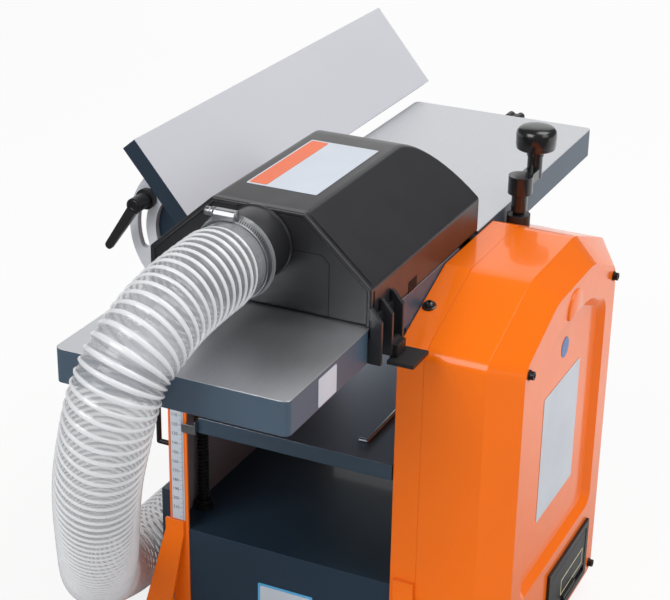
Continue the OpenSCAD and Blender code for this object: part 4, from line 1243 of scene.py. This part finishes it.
@dataclass
class LeadScrew:
    """Lead screw with a cut thread, its collar and a plain disc below the base."""

    bench: Bench
    name: str
    node: str
    body: str
    axis_at: tuple[float, float]
    top: float
    base_top: float = 0.1425
    crest: float = 0.0058
    root: float = 0.0046
    lead: float = 0.004

    def build(self) -> bpy.types.Object:
        """Winds the thread and turns the plain lengths.

        Returns:
            The screw.
        """
        mesh = bmesh.new()
        low = self.base_top + 0.0095
        x, y = self.axis_at
        profile = [(self.root, 0.0), (self.root, 0.25), (self.crest, 0.42), (self.crest, 0.70), (self.root, 0.87),
                   (self.root, 1.0)]
        verts = [mesh.verts.new((r, 0.0, low + share * self.lead)) for r, share in profile]
        edges = [mesh.edges.new(pair) for pair in zip(verts, verts[1:])]
        per_turn = 18
        turns = int((self.top - low) / self.lead) - 1
        bmesh.ops.spin(mesh, geom=verts + edges, cent=(0, 0, 0), axis=(0, 0, 1),
                       dvec=(0, 0, self.lead / per_turn), angle=math.tau * turns, steps=per_turn * turns,
                       use_merge=False, use_duplicate=False)
        bmesh.ops.remove_doubles(mesh, verts=mesh.verts, dist=2e-6)
        shank = [(0.0, self.base_top - 0.014), (0.009, self.base_top - 0.014), (0.009, self.base_top - 0.009),
                 (self.crest, self.base_top - 0.009), (self.crest, self.base_top + 0.0053),
                 (0.0080, self.base_top + 0.0053), (0.0080, self.base_top + 0.0090), (0.0076, self.base_top + 0.0095),
                 (self.root, self.base_top + 0.0095), (self.root, self.top), (0.0, self.top)]
        Bench.turned(mesh, shank, Matrix.Identity(4), 28, closed=False)
        bmesh.ops.recalc_face_normals(mesh, faces=mesh.faces)
        bmesh.ops.translate(mesh, verts=mesh.verts, vec=Vector((x, y, 0)))
        screw = self.bench.piece(mesh, self.name, Finish.BLACKENED, self.body, "black_oxide", smooth=28.0)
        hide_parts(self.node)
        return screw


@dataclass
class SmallParts:
    """Crank knob, cover screws, the dome screw on the frame and the line on the switch flap."""

    bench: Bench
    knob_at: Point = (0.1185, 0.139, 0.467)
    cover_front: float = 0.212
    screws_yz: tuple[tuple[float, float], ...] = ((-0.122, 0.363), (0.122, 0.363), (-0.122, 0.034), (0.122, 0.034))
    dome_at: Point = (0.113, -0.112, 0.4035)
    dome_lean: float = 20.56
    flap_face: float = 0.2145
    lever_end: Point = (-0.178, -0.1293, 0.4512)
    throat_box: tuple[Point, Point] = ((0.0976, 0.0060, 0.4130), (0.1055, 0.0235, 0.4226))

    def build(self) -> None:
        """Makes them all."""
        self._knob()
        self._cover_screws()
        self._dome_screw()
        self._flap_line()
        self._lever_button()
        self._throat_block()

    def _knob(self) -> None:
        """Round knob with a flat underside on a short neck."""
        mesh = bmesh.new()
        profile = [(4.1, 0.0), (8.4, 0.0), (8.6, 6.0), (17.4, 6.9), (19.0, 7.8), (19.5, 9.4), (19.5, 11.2), (19.9, 11.8),
                   (20.0, 22.5), (19.3, 26.0), (17.2, 28.7), (13.8, 30.2), (8.0, 30.9), (0.0, 31.0)]
        Bench.turned(mesh, [(r * MM, z * MM) for r, z in profile], Matrix.Translation(Vector(self.knob_at)), 56,
                     closed=False)
        bmesh.ops.recalc_face_normals(mesh, faces=mesh.faces)
        knob = self.bench.piece(mesh, "turned_knob", Finish.GLOSS_BLACK, "crank_knob", "black_plastic", smooth=44.0)
        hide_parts("crank_knob")

    def _cover_screws(self) -> None:
        """Flanged screws with a round socket."""
        mesh = bmesh.new()
        profile = [(0.0, -6.0), (2.4, -6.0), (2.4, 0.0), (4.7, 0.0), (4.8, 0.3), (4.8, 1.1), (4.5, 1.4), (3.9, 1.5),
                   (3.9, 4.7), (3.6, 5.0), (2.1, 5.0), (2.0, 3.0), (0.0, 2.8)]
        for y, z in self.screws_yz:
            Bench.turned(mesh, [(r * MM, h * MM) for r, h in profile], facing("X", (self.cover_front, y, z)), 24,
                         closed=False)
        bmesh.ops.recalc_face_normals(mesh, faces=mesh.faces)
        screws = self.bench.piece(mesh, "socket_screws", Finish.BLACKENED, "frame", "black_oxide")
        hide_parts("cover_screws")

    def _dome_screw(self) -> None:
        """Dome-headed screw on the right frame's near slope."""
        mesh = bmesh.new()
        profile = [(0.0, -1.0), (6.4, -1.0), (6.4, 0.9), (6.0, 1.2), (5.0, 1.3), (4.8, 2.6), (4.0, 4.0), (2.6, 4.9),
                   (1.7, 5.0), (1.5, 3.6), (0.0, 3.5)]
        place = Matrix.Translation(Vector(self.dome_at)) @ Matrix.Rotation(math.radians(self.dome_lean), 4, "X")
        Bench.turned(mesh, [(r * MM, h * MM) for r, h in profile], place, 28, closed=False)
        bmesh.ops.recalc_face_normals(mesh, faces=mesh.faces)
        self.bench.piece(mesh, "dome_screw", Finish.GLOSS_BLACK, "frame", "black_oxide")

    def _throat_block(self) -> None:
        """Dark block that closes the throat between the cutterblock's end and the right frame."""
        mesh = bmesh.new()
        Bench.block(mesh, *self.throat_box)
        self.bench.piece(mesh, "throat_block", Finish.BLACKENED, "frame", "black_oxide")

    def _lever_button(self) -> None:
        """Button with a dished middle in the end of the clamping lever's hub."""
        mesh = bmesh.new()
        profile = [(0.0, -0.5), (6.0, -0.5), (6.0, 0.6), (5.6, 0.9), (3.4, 0.9), (3.0, 0.2), (0.0, 0.2)]
        Bench.turned(mesh, [(r * MM, h * MM) for r, h in profile], facing("-Y", self.lever_end), 28, closed=False)
        bmesh.ops.recalc_face_normals(mesh, faces=mesh.faces)
        self.bench.piece(mesh, "lever_button", Finish.GLOSS_BLACK, "fence_lever", "black_plastic")

    def _flap_line(self) -> None:
        """Cream line round a bare field on the flap."""
        mesh = bmesh.new()
        low, high = (self.flap_face, 0.0180, 0.0545), (self.flap_face, 0.0860, 0.0730)
        corners = [(low[1], low[2]), (high[1], low[2]), (high[1], high[2]), (low[1], high[2])]
        face = mesh.faces.new([mesh.verts.new((self.flap_face - 0.0001, y, z)) for y, z in corners])
        face.normal_update()
        bmesh.ops.inset_individual(mesh, faces=[face], thickness=0.0017, depth=0.0)
        bmesh.ops.delete(mesh, geom=[face], context="FACES_ONLY")
        grown = bmesh.ops.extrude_face_region(mesh, geom=list(mesh.faces))["geom"]
        lifted = [g for g in grown if isinstance(g, bmesh.types.BMVert)]
        bmesh.ops.translate(mesh, verts=lifted, vec=Vector((0.0003, 0, 0)))
        bmesh.ops.recalc_face_normals(mesh, faces=mesh.faces)
        self.bench.piece(mesh, "flap_line", Finish.CREAM, "switch_flap", "black_plastic", smooth=20.0)


@dataclass
class HeightScale:
    """Marks and plain numbers on the white strip, one number every ten millimetres."""

    bench: Bench
    left: float = -0.1230
    right: float = -0.1095
    face: float = -0.1646
    low: float = 0.1515
    high: float = 0.3785
    zero: float = 0.375

    def build(self) -> None:
        """Marks every millimetre, and the numbers."""
        marks = bmesh.new()
        count = int((self.high - self.low) / MM)
        for k in range(1, count):
            height = int(self.low / MM) + k
            value = round(self.zero / MM) - height
            if value < 0:
                continue
            reach = 0.0050 if value % 10 == 0 else 0.0036 if value % 5 == 0 else 0.0022
            Bench.block(marks, (self.right - reach, self.face - 0.00008, height * MM - 0.00012),
                        (self.right - 0.0006, self.face + 0.0001, height * MM + 0.00012))
        self.bench.piece(marks, "scale_marks", Finish.INK_AND_SHADE, "frame", "white_plastic", smooth=10.0)
        digits = bmesh.new()
        for value in range(10, 230, 10):
            height = self.zero - value * MM
            if not self.low + 0.004 < height < self.high - 0.004:
                continue
            self._number(digits, str(value), (self.left + 0.0008, self.face - 0.00006, height - 0.0017))
        self.bench.piece(digits, "scale_numbers", Finish.INK_AND_SHADE, "frame", "white_plastic", smooth=10.0)

    @staticmethod
    def _number(mesh: bmesh.types.BMesh, text: str, at: Point) -> None:
        """Adds a plain number that reads from the near side.

        Args:
            mesh: Where to add it.
            text: The digits.
            at: Its lower left corner.
        """
        curve = bpy.data.curves.new("digits", "FONT")
        curve.body = text
        curve.size = 0.0046
        curve.resolution_u = 2
        holder = bpy.data.objects.new("digits", curve)
        bpy.context.scene.collection.objects.link(holder)
        flat = bpy.data.meshes.new_from_object(holder.evaluated_get(bpy.context.evaluated_depsgraph_get()))
        bpy.data.objects.remove(holder)
        bpy.data.curves.remove(curve)
        before = len(mesh.verts)
        mesh.from_mesh(flat)
        bpy.data.meshes.remove(flat)
        mesh.verts.ensure_lookup_table()
        bmesh.ops.transform(mesh, matrix=facing("-Y", at), verts=mesh.verts[before:])


@dataclass
class BarePlates:
    """Plain plates where such a machine carries its labels."""

    bench: Bench
    thickness: float = 0.0003

    def build(self) -> None:
        """Every plate, each laid on the face that carries it."""
        self._plate("hood_plate", (0.0, -0.114, 0.5151), (1, 0, 0), (0, 1, 0), 0.067, 0.128, Finish.WHITE)
        self._plate("hood_plate_band", (-0.0235, -0.114, 0.5154), (1, 0, 0), (0, 1, 0), 0.0165, 0.122, Finish.BAND)
        self._plate("cover_plate", (0.2049, 0.0015, 0.2385), (0, 1, 0), (0, 0, 1), 0.103, 0.130, Finish.WHITE)
        self._plate("table_plate", (0.1051, -0.302, 0.409), (0, 1, 0), (0, 0, 1), 0.033, 0.025, Finish.WHITE)
        self._plate("base_plate_edge", (-0.002, -0.1631, 0.074), (1, 0, 0), (0, 0, 1), 0.058, 0.060, Finish.SKY)
        self._plate("base_plate", (-0.002, -0.1634, 0.074), (1, 0, 0), (0, 0, 1), 0.053, 0.055, Finish.WHITE)
        disc = bmesh.new()
        Bench.turned(disc, [(0.0, 0.0), (0.0100, 0.0), (0.0100, 0.0003), (0.0, 0.0003)],
                     facing("X", (0.2049, 0.0015, 0.3357)), 40, closed=False)
        Bench.outward(disc)
        self.bench.piece(disc, "round_plate", Finish.BLUE, "frame", "white_plastic")

    def _plate(self, name: str, centre: Point, along: Point, up: Point, width: float, height: float, finish: Finish) -> None:
        """A thin plate with rounded corners.

        Args:
            name: The plate's name.
            centre: Middle of its back.
            along: Direction of its width.
            up: Direction of its height.
            width: Its width.
            height: Its height.
            finish: Its finish.
        """
        mesh = bmesh.new()
        u, v = Vector(along), Vector(up)
        corners = [mesh.verts.new(Vector(centre) + u * a * width / 2 + v * b * height / 2)
                   for a, b in ((-1, -1), (1, -1), (1, 1), (-1, 1))]
        mesh.faces.new(corners)
        bmesh.ops.bevel(mesh, geom=corners, offset=0.0015, offset_type="OFFSET", affect="VERTICES", segments=3,
                        profile=0.5, material=-1)
        face = next(iter(mesh.faces))
        grown = bmesh.ops.extrude_face_region(mesh, geom=[face])["geom"]
        ring = [g for g in grown if isinstance(g, bmesh.types.BMVert)]
        bmesh.ops.translate(mesh, verts=ring, vec=u.cross(v) * self.thickness)
        bmesh.ops.recalc_face_normals(mesh, faces=mesh.faces)
        self.bench.piece(mesh, name, finish, "frame", "white_plastic")


@dataclass
class NodeDresser:
    """Gives every solid that stays in view its finish."""

    book: FinishBook

    def finishes(self) -> dict[str, Finish]:
        """Which finish each solid takes."""
        groups = {
            Finish.ORANGE: ("right_side_frame", "foot_near_left", "foot_near_right", "foot_far_left",
                            "foot_far_right", "belt_cover"),
            Finish.ORANGE_FRAME: ("left_side_frame",),
            Finish.SLATE: ("base_housing", "motor_cover", "cross_bars", "motor", "fence_support"),
            Finish.THICKNESS_BED: ("thickness_table",),
            Finish.PLANED: ("outfeed_table", "infeed_table"),
            Finish.FENCE: ("fence",),
            Finish.CASTING: ("fence_quadrant",),
            Finish.STEEL: ("cutterblock", "cutter_knives", "cutter_bearings", "cutter_pulley", "motor_pulley",
                           "near_feed_roller", "far_feed_roller", "kickback_rod", "kickback_fingers", "hose_clamp",
                           "fence_pin", "clamp_bolt", "scale_pointer"),
            Finish.CHROME: ("guide_rod",),
            Finish.BLACKENED: ("lead_screw_left", "lead_screw_right", "screw_bushes", "roller_blocks",
                               "cover_screws", "cable_hook"),
            Finish.BRONZE: ("lift_nuts",),
            Finish.HOOD: ("hood",),
            Finish.BLACK: ("star_knob", "crank_bush", "switch_plate", "switch_flap", "hose_connector", "clamp_lever"),
            Finish.GLOSS_BLACK: ("crank_knob", "crank_arm"),
            Finish.GRIP: ("latch_lever",),
            Finish.RUBBER: ("rubber_feet", "drive_belt"),
            Finish.WHITE: ("scale_strip",),
            Finish.RED: ("stop_button",),
            Finish.GREEN: ("start_button",),
            Finish.HOSE: ("dust_hose",),
        }
        return {node: finish for finish, nodes in groups.items() for node in nodes}

    def build(self, nodes: dict[str, bpy.types.Object]) -> None:
        """Dresses the solids.

        Args:
            nodes: The frame's solids by name.
        """
        chosen = self.finishes()
        for name, solid in nodes.items():
            material = self.book.get(chosen[name])
            if not solid.material_slots:
                solid.data.materials.append(material)
            for slot in solid.material_slots:
                slot.material = material
            LOG.info("dressed %s", name)


def main() -> None:
    """Builds the scene, piece by piece."""
    logging.basicConfig(level=logging.INFO, format="%(name)s: %(message)s")
    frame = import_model()
    Studio().build()
    book = FinishBook()
    bench = Bench(book)
    DustHose(bench).build()
    HoseClamp(bench).build()
    NodeDresser(book).build(frame["nodes"])
    BeltCover(bench).build()
    ChipHood(bench).build()
    LeadScrew(bench, "left_thread", "lead_screw_left", "left_screw", (-0.114, -0.120), 0.387).build()
    LeadScrew(bench, "right_thread", "lead_screw_right", "crank", (0.1185, 0.099), 0.441).build()
    SmallParts(bench).build()
    HeightScale(bench).build()
    BarePlates(bench).build()


if __name__ == "__main__":
    main()
